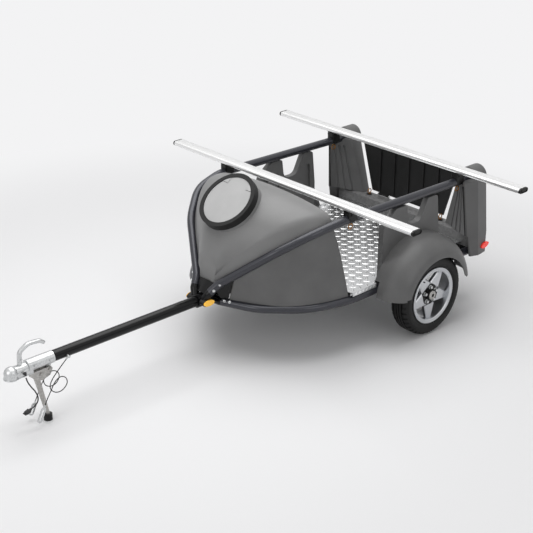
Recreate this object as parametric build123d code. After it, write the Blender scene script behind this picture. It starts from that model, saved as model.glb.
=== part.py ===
from build123d import *
import math
import os

# Kayak trailer, millimetres. +X points forward to the coupler, +Y to the left, +Z up.
# The origin is on the ground under the middle of the overall length.

os.makedirs("parts", exist_ok=True)

# Small play between pieces
FIT_GAP = 0.3

# Load bars and rails
BAR_LENGTH = 1981.0
BAR_FRONT_X = -393.0
BAR_SPACING = 906.0
BAR_TOP_Z = 890.0
BAR_WIDTH = 76.0
BAR_HEIGHT = 30.0
BAR_WALL = 2.5
BAR_CAP_LENGTH = 12.0
RAIL_DIA = 48.3
RAIL_WALL = 3.0
LOWER_RAIL_Y = 547.0
LOWER_RAIL_Z = 335.0
UPPER_RAIL_Y = 514.0
UPPER_RAIL_Z = 812.0
RAIL_REAR_X = -1452.0
BAR_GROOVE_DEPTH = 1.0

# Tongue and coupler
TONGUE_DIA = 60.3
TONGUE_WALL = 3.2
TONGUE_Z = 350.0
COUPLER_TIP_X = 1516.0
COUPLER_LENGTH = 282.0
SLEEVE_WALL = 2.55
SLEEVE_OVERLAP = 120.0
NECK_RADIUS = 26.0
NECK_DROP = 4.0
BALL_DIA = 50.0
SOCKET_WALL = 12.0
SKIRT_FLANGE = 4.0
SKIRT_DEPTH = 26.0
HANDLE_BACK = 92.0
HANDLE_WIDTH = 24.0
HANDLE_THICK = 20.0
HUB_REAR_X = 135.0
HUB_FRONT_X = 292.0

# Wheels
AXLE_X = -907.0
AXLE_Z = 245.0
TYRE_WIDTH = 130.0
TYRE_MID_Y = 646.0
RIM_SEAT_RADIUS = 152.4
RIM_FLANGE_RADIUS = 171.0
RIM_WALL = 5.0
SPOKES = 5
SPINDLE_DIA = 25.0
HUB_CAP_RADIUS = 33.0
ARM_INNER_Y = 545.0
ARM_THICK = 20.0

# Deck
DECK_THICK = 3.0
DECK_CLEAR = 2.85
DECK_FRONT_X = 118.0
SILL_FRONT_X = -1392.0
SILL_TOP_Z = 455.0
SILL_DEPTH = 82.0

# Cross members between the lower rails
MEMBER_X = (-460.0, -740.0, -1110.0, -1425.0)
MEMBER_WIDTH = 44.0
MEMBER_HEIGHT = 44.0

# Moulded body
PANEL_WALL = 4.5
TOWER_THICK = 36.0
FENDER_CROWN_RADIUS = 352.0
FENDER_OUTER_Y = 738.0
FENDER_LOW_Z = 296.0
FENDER_OPENING_RADIUS = 247.0
HOOD_REAR_X = -293.0
HATCH_RADIUS = 150.0
HATCH_TILT = 40.0
HATCH_X = 52.0
HATCH_Z = 890.0
HATCH_RING_WIDTH = 25.0
HATCH_RING_HEIGHT = 38.0
LID_THICK = 8.0
LID_PIN_BACK = 120.0
LID_PIN_RADIUS = 4.0
LID_CORNER_X = 74.0
LID_CORNER_DEPTH = 28.0

# Tailgate
GATE_X = -1452.0
GATE_THICK = 8.0
GATE_BOTTOM_Z = 478.0
GATE_TOP_Z = 824.0
GATE_BOTTOM_HALF = 300.0
GATE_TOP_HALF = 400.0
GATE_RIB_HEIGHT = 6.0
PILLAR_REAR_X = -1516.0
PILLAR_CORNER = 9.0
PILLAR_FLUTE = 7.0

# Parking stand
STAND_PIVOT_AHEAD = 28.0
STAND_PIVOT_DROP = 23.0
STAND_FOOT_AHEAD = 24.0
STAND_FOOT_DIA = 46.0
STAND_FOOT_HEIGHT = 34.0

# Cables and wiring lead
LEAD_DIA = 7.0
CABLE_DIA = 5.0
BARREL_DIA = 9.0
HOOK_WIDTH = 28.0
HOOK_THICK = 6.0

SIDES = (("left", 1), ("right", -1))


def save(node, *solids):
    """Write one node; several solids on one body share the node."""
    shape = solids[0] if len(solids) == 1 else Compound(children=list(solids))
    export_step(shape, f"parts/{node}.step")


def handed(shape, side):
    """Left pieces are modelled; right pieces are their mirror image."""
    return shape if side > 0 else mirror(shape, about=Plane.XZ)


def bar(axis, radius, start, length):
    """A round bar from a start point along X, Y or Z."""
    return Plane(origin=start, z_dir=axis) * extrude(Circle(radius), length)


def bored(axis, radius, bore, start, length):
    """A round tube from a start point along an axis."""
    return Plane(origin=start, z_dir=axis) * extrude(Circle(radius) - Circle(bore), length)


def bent_tube(points, radii, diameter, bore=0.0):
    """A round tube of straight runs joined by tangent arcs."""
    path = FilletPolyline(*points, radius=radii)
    section = Circle(diameter / 2)
    if bore > 0:
        section = section - Circle(bore / 2)
    return sweep(Plane(origin=path @ 0, z_dir=path % 0) * section, path=path)


def block(x0, x1, y0, y1, z0, z1):
    """A box between two corners."""
    middle = ((x0 + x1) / 2, (y0 + y1) / 2, (z0 + z1) / 2)
    return Pos(*middle) * Box(x1 - x0, y1 - y0, z1 - z0)


def side_profile(points, y0, y1):
    """An outline drawn in the X-Z plane and given its width along Y."""
    outline = Plane.XZ * make_face(Polyline(*points, close=True))
    return Pos(0, y1, 0) * extrude(outline, y1 - y0)


def rounded_profile(corners, y0, y1):
    """A side profile whose corners, given as x, z and radius, are each rounded."""
    line = FilletPolyline(*[(x, z) for x, z, r in corners],
                          radius=[r for x, z, r in corners], close=True)
    return Pos(0, y1, 0) * extrude(Plane.XZ * make_face(line), y1 - y0)


X_AXIS = (1, 0, 0)
Y_AXIS = (0, 1, 0)
Z_AXIS = (0, 0, 1)
rail_r = RAIL_DIA / 2
rail_bore = RAIL_DIA - 2 * RAIL_WALL
sleeve_r = TONGUE_DIA / 2 + FIT_GAP + SLEEVE_WALL
deck_top_z = TONGUE_Z + TONGUE_DIA / 2 + DECK_CLEAR + DECK_THICK
member_reach = max(rail_r, MEMBER_HEIGHT / 2)

# Upper and lower rails, front end to rear end
upper_points = (
    (240, 66, 411),
    (203, 92, 456),
    (30, 352, 672),
    (-130, 478, 776),
    (-330, UPPER_RAIL_Y, UPPER_RAIL_Z),
    (RAIL_REAR_X, UPPER_RAIL_Y, UPPER_RAIL_Z - 14),
)
upper_radii = (150, 380, 280, 450)
lower_points = (
    (165, 78, LOWER_RAIL_Z),
    (85, 282, LOWER_RAIL_Z),
    (-115, 475, LOWER_RAIL_Z),
    (-360, LOWER_RAIL_Y, LOWER_RAIL_Z),
    (RAIL_REAR_X, LOWER_RAIL_Y, LOWER_RAIL_Z),
)
lower_radii = (350, 450, 500)


def upper_rail_z(x):
    """Height of the upper rail's centre on its long rear run."""
    front, rear = upper_points[-2], upper_points[-1]
    return front[2] + (rear[2] - front[2]) * (x - front[0]) / (rear[0] - front[0])


upper_rail = bent_tube(upper_points, upper_radii, RAIL_DIA, rail_bore)
lower_rail = bent_tube(lower_points, lower_radii, RAIL_DIA, rail_bore)
for name, side in SIDES:
    save(f"upper_rail_{name}", handed(upper_rail, side))
    save(f"lower_rail_{name}", handed(lower_rail, side))


# Tongue hub: a collar round the tongue with a spigot into each rail
def spigots(rail_points, core):
    end = Vector(*rail_points[0])
    into = (Vector(*rail_points[1]) - end).normalized()
    neck = end - into * 16
    run = neck - Vector(*core)
    root = Plane(origin=core, z_dir=run) * extrude(Circle(rail_r), run.length)
    collar = Plane(origin=neck, z_dir=into) * extrude(Circle(rail_r), 16 - FIT_GAP)
    joint = Pos(*neck) * Sphere(rail_r)
    spigot = Plane(origin=neck, z_dir=into) * extrude(Circle(rail_bore / 2 - FIT_GAP), 50)
    return root + joint + collar + spigot


hub_sleeve = bar(X_AXIS, TONGUE_DIA / 2 + 9, (HUB_REAR_X, 0, TONGUE_Z), HUB_FRONT_X - HUB_REAR_X)
hub = hub_sleeve
for name, side in SIDES:
    hub += handed(spigots(upper_points, (262, 40, 366)), side)
    hub += handed(spigots(lower_points, (180, 34, 338)), side)
hub -= bar(X_AXIS, TONGUE_DIA / 2 + FIT_GAP, (HUB_REAR_X - 60, 0, TONGUE_Z), 260)
save("tongue_hub", hub)

# Tongue tube, from inside the coupler sleeve back to the front cross member
tongue_rear_x = MEMBER_X[0] + MEMBER_WIDTH / 2 + FIT_GAP
sleeve_rear_x = COUPLER_TIP_X - COUPLER_LENGTH
tongue_front_x = sleeve_rear_x + SLEEVE_OVERLAP
tongue = bored(X_AXIS, TONGUE_DIA / 2, TONGUE_DIA / 2 - TONGUE_WALL,
               (tongue_rear_x, 0, TONGUE_Z), tongue_front_x - tongue_rear_x)
save("tongue_tube", tongue)

# Coupler: a sleeve over the tongue and a nose with a ball socket
shell_r = BALL_DIA / 2 + SOCKET_WALL
socket_x = COUPLER_TIP_X - shell_r - SKIRT_FLANGE
socket_z = TONGUE_Z - 10
sleeve = bar(X_AXIS, sleeve_r, (sleeve_rear_x, 0, TONGUE_Z), COUPLER_LENGTH - 130)
skirt_low = socket_z - SKIRT_DEPTH
nose_top = Pos(socket_x, 0, socket_z) * Sphere(shell_r)
neck = bar(X_AXIS, NECK_RADIUS, (sleeve_rear_x + 130, 0, TONGUE_Z - NECK_DROP), 115)
skirt = block(sleeve_rear_x + 130, socket_x, -30, 30, skirt_low, TONGUE_Z)
skirt = fillet(skirt.edges().filter_by(Axis.X).group_by(Axis.Z)[-1], 14)
skirt += bar(Z_AXIS, shell_r, (socket_x, 0, skirt_low), SKIRT_DEPTH)
skirt += block(sleeve_rear_x + 134, socket_x, -30 - SKIRT_FLANGE, 30 + SKIRT_FLANGE,
               skirt_low, skirt_low + 3)
skirt += bar(Z_AXIS, shell_r + SKIRT_FLANGE, (socket_x, 0, skirt_low), 3)
coupler = sleeve + neck + skirt + nose_top
coupler -= block(sleeve_rear_x, COUPLER_TIP_X + 5, -60, 60, socket_z - 60, skirt_low)
coupler -= Pos(socket_x, 0, socket_z) * Sphere(BALL_DIA / 2 + FIT_GAP)
coupler -= bar(Z_AXIS, BALL_DIA / 2 + FIT_GAP, (socket_x, 0, socket_z - 60), 60)
coupler -= bar(X_AXIS, TONGUE_DIA / 2 + FIT_GAP, (sleeve_rear_x - 5, 0, TONGUE_Z),
               SLEEVE_OVERLAP + 8)
save("coupler_body", coupler)

# Coupler handle, a curved lever that stands on the neck and reaches back over the sleeve
handle_x = COUPLER_TIP_X - HANDLE_BACK
handle_foot_z = TONGUE_Z - NECK_DROP + NECK_RADIUS + FIT_GAP
handle_points = ((handle_x, 0, handle_foot_z - 6), (handle_x - 6, 0, handle_foot_z + 68),
                 (handle_x - 56, 0, handle_foot_z + 98), (handle_x - 124, 0, handle_foot_z + 92),
                 (handle_x - 148, 0, handle_foot_z + 74))
handle_path = FilletPolyline(*handle_points, radius=(30, 60, 26))
handle = sweep(Plane(origin=handle_path @ 0, z_dir=handle_path % 0)
               * RectangleRounded(HANDLE_THICK, HANDLE_WIDTH, 7), path=handle_path)
handle -= block(handle_x - 30, handle_x + 30, -30, 30, handle_foot_z - 20, handle_foot_z)
save("coupler_handle", handle)

# Cross members between the lower rails, and the axle beam below them
member_half = LOWER_RAIL_Y - rail_r - FIT_GAP
members = [
    block(x - MEMBER_WIDTH / 2, x + MEMBER_WIDTH / 2, -member_half, member_half,
          LOWER_RAIL_Z - MEMBER_HEIGHT / 2, LOWER_RAIL_Z + MEMBER_HEIGHT / 2)
    for x in MEMBER_X
]
save("cross_members", *members)

beam_z = LOWER_RAIL_Z - member_reach - FIT_GAP - 24
beam_x = AXLE_X + 150
axle_beam = block(beam_x - 24, beam_x + 24, -545, 545, beam_z - 24, beam_z + 24)
axle_beam -= block(beam_x - 20, beam_x + 20, -546, 546, beam_z - 20, beam_z + 20)
save("axle_beam", axle_beam)

# Trailing arm with its stub axle, one each side
arm_outer_y = ARM_INNER_Y + ARM_THICK
arm_points = [
    (beam_x + 26, beam_z + 20), (beam_x + 26, beam_z - 24), (beam_x - 30, beam_z - 30),
    (AXLE_X - 24, AXLE_Z - 20), (AXLE_X - 24, AXLE_Z + 22), (beam_x - 30, beam_z + 22),
]
arm = side_profile(arm_points, ARM_INNER_Y + FIT_GAP, arm_outer_y)
arm += bar(Y_AXIS, 30, (AXLE_X, ARM_INNER_Y + FIT_GAP, AXLE_Z), arm_outer_y - ARM_INNER_Y)
arm += bar(Y_AXIS, SPINDLE_DIA / 2, (AXLE_X, arm_outer_y, AXLE_Z), 112)
for name, side in SIDES:
    save(f"axle_arm_{name}", handed(arm, side))

# Wheel hub, spoked rim and tyre, turned about the Y axis
tyre_r = AXLE_Z
half_w = TYRE_WIDTH / 2
rim_half = half_w - 6


def turned(points_ry):
    """A solid turned about the wheel axle from points of radius and width."""
    outline = make_face(Polyline(*[(r, y) for r, y in points_ry], close=True))
    body = revolve(outline, axis=Axis.Y)
    return Pos(AXLE_X, TYRE_MID_Y, AXLE_Z) * body


def tyre_section():
    """Bead, bulged sidewall, rounded shoulder and flat tread."""
    seat = RIM_SEAT_RADIUS + FIT_GAP
    bead = rim_half - RIM_WALL - FIT_GAP
    tread = half_w - 22
    side_r = (RIM_FLANGE_RADIUS + tyre_r) / 2
    right = [
        Line((seat, 0), (seat, bead)),
        Line((seat, bead), (RIM_FLANGE_RADIUS + 3, bead)),
        ThreePointArc((RIM_FLANGE_RADIUS + 3, bead), (side_r, half_w), (tyre_r - 8, half_w - 12)),
        ThreePointArc((tyre_r - 8, half_w - 12), (tyre_r - 3, half_w - 18), (tyre_r, tread)),
        Line((tyre_r, tread), (tyre_r, 0)),
    ]
    left = [
        Line((tyre_r, 0), (tyre_r, -tread)),
        ThreePointArc((tyre_r, -tread), (tyre_r - 3, -half_w + 18), (tyre_r - 8, -half_w + 12)),
        ThreePointArc((tyre_r - 8, -half_w + 12), (side_r, -half_w), (RIM_FLANGE_RADIUS + 3, -bead)),
        Line((RIM_FLANGE_RADIUS + 3, -bead), (seat, -bead)),
        Line((seat, -bead), (seat, 0)),
    ]
    return make_face(Wire(right + left))


tyre = Pos(AXLE_X, TYRE_MID_Y, AXLE_Z) * revolve(tyre_section(), axis=Axis.Y)

barrel = turned([
    (RIM_SEAT_RADIUS, 0), (RIM_SEAT_RADIUS, rim_half - RIM_WALL),
    (RIM_FLANGE_RADIUS, rim_half - RIM_WALL), (RIM_FLANGE_RADIUS, rim_half),
    (RIM_SEAT_RADIUS - RIM_WALL, rim_half - 4), (RIM_SEAT_RADIUS - RIM_WALL, -rim_half + 4),
    (RIM_FLANGE_RADIUS, -rim_half), (RIM_FLANGE_RADIUS, -rim_half + RIM_WALL),
    (RIM_SEAT_RADIUS, -rim_half + RIM_WALL),
])
spoke_y0 = 12.0
spoke_y1 = 34.0
hub_bore = HUB_CAP_RADIUS + FIT_GAP
centre = Pos(AXLE_X, TYRE_MID_Y + spoke_y0, AXLE_Z) * (
    Rot(-90, 0, 0) * extrude(Circle(70) - Circle(hub_bore), spoke_y1 - spoke_y0 - 6))
spoke_outline = make_face(Polyline((-44, 62), (-19, 149.5), (19, 149.5), (44, 62), close=True))
spokes = centre
for k in range(SPOKES):
    one = Rot(-90, 0, 0) * extrude(spoke_outline, spoke_y1 - spoke_y0)
    one = chamfer(one.edges().group_by(Axis.Y)[-1].filter_by(GeomType.LINE).sort_by(
        Edge.length)[-2:], 5)
    spokes += Pos(AXLE_X, TYRE_MID_Y + spoke_y0, AXLE_Z) * Rot(0, 360 / SPOKES * k, 0) * one
rim = barrel + spokes

hub_points = [
    (SPINDLE_DIA / 2 + FIT_GAP, -70), (44, -70), (50, -64), (50, -40), (HUB_CAP_RADIUS, -34),
    (HUB_CAP_RADIUS, 46), (24, 56), (0, 56), (0, 34), (SPINDLE_DIA / 2 + FIT_GAP, 34),
]
wheel_hub = turned(hub_points)
hub_flange = turned([(HUB_CAP_RADIUS - 2, spoke_y0 - 10), (58, spoke_y0 - 10),
                     (58, spoke_y0 - FIT_GAP), (HUB_CAP_RADIUS - 2, spoke_y0 - FIT_GAP)])
wheel_hub += hub_flange
for name, side in SIDES:
    save(f"tyre_{name}", handed(tyre, side))
    save(f"rim_{name}", handed(rim, side))
    save(f"wheel_hub_{name}", handed(wheel_hub, side))

# Floor plates: one under the hood, and the tread plate with a folded lip behind the bulkhead
deck_bottom = deck_top_z - DECK_THICK
bulkhead_x = HOOD_REAR_X + 10
bulkhead_foot_x = bulkhead_x - 1
tower_outer_y = UPPER_RAIL_Y + rail_r
tower_inner_y = tower_outer_y - TOWER_THICK
tower_front_x = -636.0
fender_front_x = AXLE_X + FENDER_CROWN_RADIUS


def floor_plate(half_outline):
    """A plate from one side's outline and its mirror image."""
    outline = list(half_outline) + [(x, -y) for x, y in reversed(half_outline)]
    return Pos(0, 0, deck_bottom) * extrude(make_face(Polyline(*outline, close=True)), DECK_THICK)


save("nose_floor", floor_plate((
    (DECK_FRONT_X, 178), (57, 290), (-93, 440), (bulkhead_foot_x, 515),
)))
deck = floor_plate((
    (bulkhead_foot_x - FIT_GAP, 515), (-362, 530), (-374, 566), (fender_front_x - 10, 566),
    (fender_front_x - 10, tower_outer_y), (tower_front_x + 2, tower_outer_y),
    (tower_front_x + 2, tower_inner_y - FIT_GAP), (SILL_FRONT_X, tower_inner_y - FIT_GAP),
))
lip_low = LOWER_RAIL_Z + member_reach + FIT_GAP
for side in (1, -1):
    lip = block(fender_front_x - 10, -374, LOWER_RAIL_Y - 2, LOWER_RAIL_Y + 2, lip_low, deck_bottom)
    deck += Pos(0, 0 if side > 0 else -2 * LOWER_RAIL_Y, 0) * lip
save("deck_plate", deck)

# Rear sill, a raised moulding that ends the deck
sill_rear_x = SILL_FRONT_X - SILL_DEPTH
sill = block(sill_rear_x, SILL_FRONT_X - FIT_GAP, -548, 548, lip_low, SILL_TOP_Z)
sill = chamfer(sill.edges().group_by(Axis.Z)[-1].filter_by(Axis.Y), 14)
sill_cut = block(sill_rear_x + 8, SILL_FRONT_X - 8, -500, 500, lip_low - 5, SILL_TOP_Z - 8)
save("rear_sill", sill - sill_cut)

# Fender: a turned bulge over the wheel, hollow below and open to the outside
fender_inner_y = tower_outer_y + FIT_GAP


def fender_section(wall):
    """Crown, rounded shoulder and outer face, drawn as radius against width."""
    crown = FENDER_CROWN_RADIUS - wall
    out = FENDER_OUTER_Y - wall
    flat_end = 600.0
    low = 150.0
    points = [
        Line((low, fender_inner_y), (crown, fender_inner_y)),
        Line((crown, fender_inner_y), (crown - 2, flat_end)),
        ThreePointArc((crown - 2, flat_end), (crown - 30, 690 - wall * 0.7), (285 - wall, out - 10)),
        ThreePointArc((285 - wall, out - 10), (265 - wall, out - 2), (240 - wall, out)),
        Line((240 - wall, out), (low, out)),
        Line((low, out), (low, fender_inner_y)),
    ]
    return make_face(Wire(points))


fender = revolve(fender_section(0), axis=Axis.Y)
fender_cavity = revolve(fender_section(PANEL_WALL), axis=Axis.Y)
fender = Pos(AXLE_X, 0, AXLE_Z) * (fender - fender_cavity)
fender -= bar(Y_AXIS, FENDER_OPENING_RADIUS, (AXLE_X - 8, FENDER_OUTER_Y - 60, AXLE_Z - 8), 90)
fender -= block(AXLE_X - 260, AXLE_X + 262, 690, FENDER_OUTER_Y + 5, 0, AXLE_Z + 62)
fender -= block(AXLE_X - 400, AXLE_X + 400, 400, FENDER_OUTER_Y + 5, -200, FENDER_LOW_Z)
fender -= bar(Y_AXIS, 300, (AXLE_X, 400, AXLE_Z), 144 + FIT_GAP + PANEL_WALL)
fender -= block(AXLE_X - 400, AXLE_X + 400, 400, LOWER_RAIL_Y + rail_r + FIT_GAP,
                -100, deck_top_z + FIT_GAP)
fender -= block(fender_front_x - 12, AXLE_X + 400, 400, 566 + FIT_GAP, -100, deck_top_z + FIT_GAP)
for name, side in SIDES:
    save(f"fender_{name}", handed(fender, side))

# Side tower: a moulded panel with two peaks under the upper rail and a U notch between
tower_rear_x = -1120.0
tower_top = UPPER_RAIL_Z - rail_r - 8
tower_low = LOWER_RAIL_Z + rail_r + FIT_GAP
tower_corners = (
    # x, z, corner radius
    (tower_front_x, tower_low, 0), (tower_front_x - 4, 700, 90), (-742, tower_top, 24),
    (-832, tower_top - 1, 14), (-848, 652, 48), (-952, 652, 48), (-1014, tower_top - 3, 14),
    (-1098, tower_top - 4, 20), (tower_rear_x, 560, 120), (tower_rear_x, tower_low, 0),
)
tower = rounded_profile(tower_corners, tower_inner_y, tower_outer_y)
tower -= bent_tube(upper_points, upper_radii, RAIL_DIA + 2 * FIT_GAP)
tower -= bent_tube(lower_points, lower_radii, RAIL_DIA + 2 * FIT_GAP)
for x in (-690, -786, -1056):
    recess = ((x - 22, 470, 14), (x + 22, 470, 14), (x + 17, 700, 14), (x - 17, 700, 14))
    tower -= rounded_profile(recess, tower_inner_y - 5, tower_inner_y + 12)
for name, side in SIDES:
    save(f"side_tower_{name}", handed(tower, side))

# Nose hood: lofted shell between the upper rails, with a round boss for the hatch
hood_stations = (
    # x, half width at the foot, foot height, shoulder half width, shoulder height, crown
    (HOOD_REAR_X, 484, 768, 452, 846, 884),
    (-130, 446, 744, 404, 842, 922),
    (30, 318, 648, 290, 754, 868),
    (140, 158, 520, 148, 612, 758),
    (205, 64, 444, 62, 500, 616),
)


def hood_solid(wall, past_rear, past_foot, short_nose):
    """Closed loft through arched sections, smaller all round by the wall."""
    sections = []
    for x, foot_y, foot_z, shoulder_y, shoulder_z, crown_z in hood_stations:
        low = foot_z - past_foot
        outline = [
            Line((-foot_y + wall, low), (-shoulder_y + wall, shoulder_z - wall)),
            ThreePointArc((-shoulder_y + wall, shoulder_z - wall), (0, crown_z - wall),
                          (shoulder_y - wall, shoulder_z - wall)),
            Line((shoulder_y - wall, shoulder_z - wall), (foot_y - wall, low)),
            Line((foot_y - wall, low), (-foot_y + wall, low)),
        ]
        face = make_face(Wire(outline))
        corners = face.vertices().group_by(Axis.Y)[-1]
        face = fillet(corners, shoulder_y * 0.16 - wall)
        if x == HOOD_REAR_X:
            x = x - past_rear
        if x == hood_stations[-1][0]:
            x = x - short_nose
        plane = Plane(origin=(x, 0, 0), x_dir=(0, 1, 0), z_dir=(1, 0, 0))
        sections.append(plane * face)
    return loft(sections)


tilt = math.radians(HATCH_TILT)
hatch_normal = (math.sin(tilt), 0, math.cos(tilt))
hatch_plane = Plane(origin=(HATCH_X, 0, HATCH_Z), x_dir=(0, 1, 0), z_dir=hatch_normal)
ring_radius = HATCH_RADIUS + HATCH_RING_WIDTH
boss_radius = ring_radius - 2
boss_depth = 92.0


def boss_solid(wall):
    """Round boss below the ring, sunk into the hood."""
    low = -HATCH_RING_HEIGHT - boss_depth
    return hatch_plane * Pos(0, 0, low) * extrude(Circle(boss_radius - wall), boss_depth - wall)


hood = hood_solid(0, 0, 0, 0) + boss_solid(0)
hood -= hood_solid(PANEL_WALL, 6, 8, 6)
hood -= boss_solid(PANEL_WALL)
for name, side in SIDES:
    hood -= handed(bent_tube(upper_points, upper_radii, RAIL_DIA + 2 * FIT_GAP), side)
hood -= hatch_plane * Pos(0, 0, -HATCH_RING_HEIGHT - 20) * extrude(Circle(HATCH_RADIUS), 40)
hood -= hatch_plane * Pos(0, 0, -HATCH_RING_HEIGHT) * extrude(Circle(ring_radius + FIT_GAP), 90)
save("nose_hood", hood)

# Hatch ring and its lid, which tips up on two pins in the ring
lid_radius = HATCH_RADIUS - 1
lid_pin_x = math.sqrt(lid_radius ** 2 - LID_PIN_BACK ** 2)
pin_start_x = LID_CORNER_X - 6
pin_reach = lid_pin_x + 12 - pin_start_x


def lid_pins(radius, length):
    """Two short pins along Y on a chord behind the lid's middle."""
    pair = []
    for side in (1, -1):
        start = Plane(origin=(side * pin_start_x, LID_PIN_BACK, -LID_THICK / 2),
                      z_dir=(side, 0, 0))
        pair.append(hatch_plane * start * extrude(Circle(radius), length))
    return pair


ring = hatch_plane * Pos(0, 0, -HATCH_RING_HEIGHT) * extrude(
    Circle(ring_radius) - Circle(HATCH_RADIUS), HATCH_RING_HEIGHT + 4)
lid = hatch_plane * Pos(0, 0, -LID_THICK) * extrude(Circle(lid_radius), LID_THICK)
for side in (1, -1):
    corner = Box(60, 60, 3 * LID_THICK)
    lid -= hatch_plane * Pos(side * (LID_CORNER_X + 30), LID_PIN_BACK - LID_CORNER_DEPTH + 30, 0) * corner
for pin, hole in zip(lid_pins(LID_PIN_RADIUS, pin_reach), lid_pins(LID_PIN_RADIUS + FIT_GAP,
                                                                   pin_reach + 2)):
    lid += pin
    ring -= hole
save("hatch_ring", ring)
save("hatch_lid", lid)

# Load bars: flat oval extrusions across both rails
bar_centre_z = BAR_TOP_Z - BAR_HEIGHT / 2
rear_bar_x = BAR_FRONT_X - BAR_SPACING


def bar_section(grow):
    """Flat oval with rounded leading and trailing edges."""
    return RectangleRounded(BAR_WIDTH + 2 * grow, BAR_HEIGHT + 2 * grow, BAR_HEIGHT / 2 - 1 + grow)


tube_length = BAR_LENGTH - 2 * BAR_CAP_LENGTH
caps = []
for name, x in (("front", BAR_FRONT_X), ("rear", rear_bar_x)):
    plane = Plane(origin=(x, -tube_length / 2, bar_centre_z), x_dir=(1, 0, 0), z_dir=(0, 1, 0))
    profile = bar_section(0) - bar_section(-BAR_WALL)
    for offset, width in ((-22, 3), (0, 9), (22, 3)):
        profile -= Pos(offset, BAR_HEIGHT / 2) * Rectangle(width, 2 * BAR_GROOVE_DEPTH)
        profile -= Pos(offset, -BAR_HEIGHT / 2) * Rectangle(width, 2 * BAR_GROOVE_DEPTH)
    load_bar = plane * extrude(profile, tube_length)
    save(f"load_bar_{name}", load_bar)
    for side in (1, -1):
        end = Plane(origin=(x, side * tube_length / 2, bar_centre_z), x_dir=(1, 0, 0),
                    z_dir=(0, side, 0))
        caps.append(end * extrude(bar_section(0), BAR_CAP_LENGTH))
save("bar_end_caps", *caps)

# Bar brackets: a block on the rail with a saddle below the bar
brackets = []
for x in (BAR_FRONT_X, rear_bar_x):
    for side in (1, -1):
        low = upper_rail_z(x) - 8
        high = BAR_TOP_Z - BAR_HEIGHT - FIT_GAP
        post = block(x - 34, x + 34, UPPER_RAIL_Y - 27, UPPER_RAIL_Y + 27, low, high)
        post = fillet(post.edges().filter_by(Axis.Z), 9)
        post -= bent_tube(upper_points, upper_radii, RAIL_DIA + 2 * FIT_GAP)
        brackets.append(handed(post, side))
save("bar_brackets", *brackets)

# Rear pillars: lofted columns at the rear corners, with a gusset on the sill and a round head
pillar_foot = (
    (320, ((-1352, 592), (-1400, 568), (-1470, 560), (-1508, 572), (-1500, 606), (-1420, 618))),
    (SILL_TOP_Z, ((-1330, 586), (-1372, 552), (-1472, 552), (PILLAR_REAR_X, 560), (-1502, 604),
                  (-1404, 616))),
)
pillar_body = (
    (SILL_TOP_Z + FIT_GAP, ((-1330, 586), (-1420, 345), (-1472, 340), (PILLAR_REAR_X, 560),
                            (-1502, 604), (-1404, 616))),
    (800, ((-1296, 564), (-1392, 446), (-1472, 438), (-1508, 512), (-1490, 580), (-1390, 596))),
)


def ruled_column(table):
    """A column between two outlines, each given with its height."""
    faces = []
    for z, corners in table:
        outline = FilletPolyline(*corners, radius=[PILLAR_CORNER] * len(corners), close=True)
        faces.append(Pos(0, 0, z) * make_face(outline))
    return loft(faces, ruled=True)


pillar = ruled_column(pillar_foot) + ruled_column(pillar_body)
for share in (0.3, 0.5, 0.7):
    low_edge, low_end = pillar_body[0][1][0], pillar_body[0][1][1]
    top_edge, top_end = pillar_body[1][1][0], pillar_body[1][1][1]
    start = Vector(low_edge[0] + share * (low_end[0] - low_edge[0]),
                   low_edge[1] + share * (low_end[1] - low_edge[1]), pillar_body[0][0] - 1)
    end = Vector(top_edge[0] + share * (top_end[0] - top_edge[0]),
                 top_edge[1] + share * (top_end[1] - top_edge[1]), pillar_body[1][0] - 40)
    pillar -= Plane(origin=start, z_dir=end - start) * extrude(Circle(PILLAR_FLUTE),
                                                                (end - start).length)
knob = Pos(-1442, 516, 800) * Rot(0, 90, 0) * Cylinder(66, 96)
pillar += knob & block(PILLAR_REAR_X, -1300, 430, 600, 800, 900)
pillar -= bent_tube(upper_points, upper_radii, RAIL_DIA + 2 * FIT_GAP)
pillar -= bent_tube(lower_points, lower_radii, RAIL_DIA + 2 * FIT_GAP)
pillar -= block(rear_bar_x - 35, -1200, 470, UPPER_RAIL_Y + 28, 780, BAR_TOP_Z)
for name, side in SIDES:
    save(f"rear_pillar_{name}", handed(pillar, side))

# Nose side panels: thin lofts from rail to rail, with a sloping rear edge
nose_panel_stations = (
    # x, upper rail y, upper rail z, lower rail y
    (-400, 512, 812, 545),
    (-293, 505, 804, 527),
    (-93, 447, 750, 450),
    (57, 311, 638, 302),
    (150, 172, 522, 120),
)
panel_sections = []
for k, (x, top_y, top_z, low_y) in enumerate(nose_panel_stations):
    near = nose_panel_stations[k - 1] if k else nose_panel_stations[1]
    run = abs(near[0] - x)
    half = PANEL_WALL / 2 * math.hypot(run, near[1] - top_y) / run
    corners = ((top_y - half, top_z), (top_y + half, top_z),
               (low_y + half, LOWER_RAIL_Z), (low_y - half, LOWER_RAIL_Z))
    plane = Plane(origin=(x, 0, 0), x_dir=(0, 1, 0), z_dir=(1, 0, 0))
    panel_sections.append(plane * make_face(Polyline(*corners, close=True)))
nose_side = loft(panel_sections)
rear_edge = [(-500, 300), (-361, 300), (-356, 391), (-320, 585), (-286, 720), (-256, 830),
             (-500, 830)]
nose_side -= side_profile(rear_edge, 400, 620)
nose_side -= bent_tube(upper_points, upper_radii, RAIL_DIA + 2 * FIT_GAP)
nose_side -= bent_tube(lower_points, lower_radii, RAIL_DIA + 2 * FIT_GAP)
for name, side in SIDES:
    save(f"nose_side_{name}", handed(nose_side, side))

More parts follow.
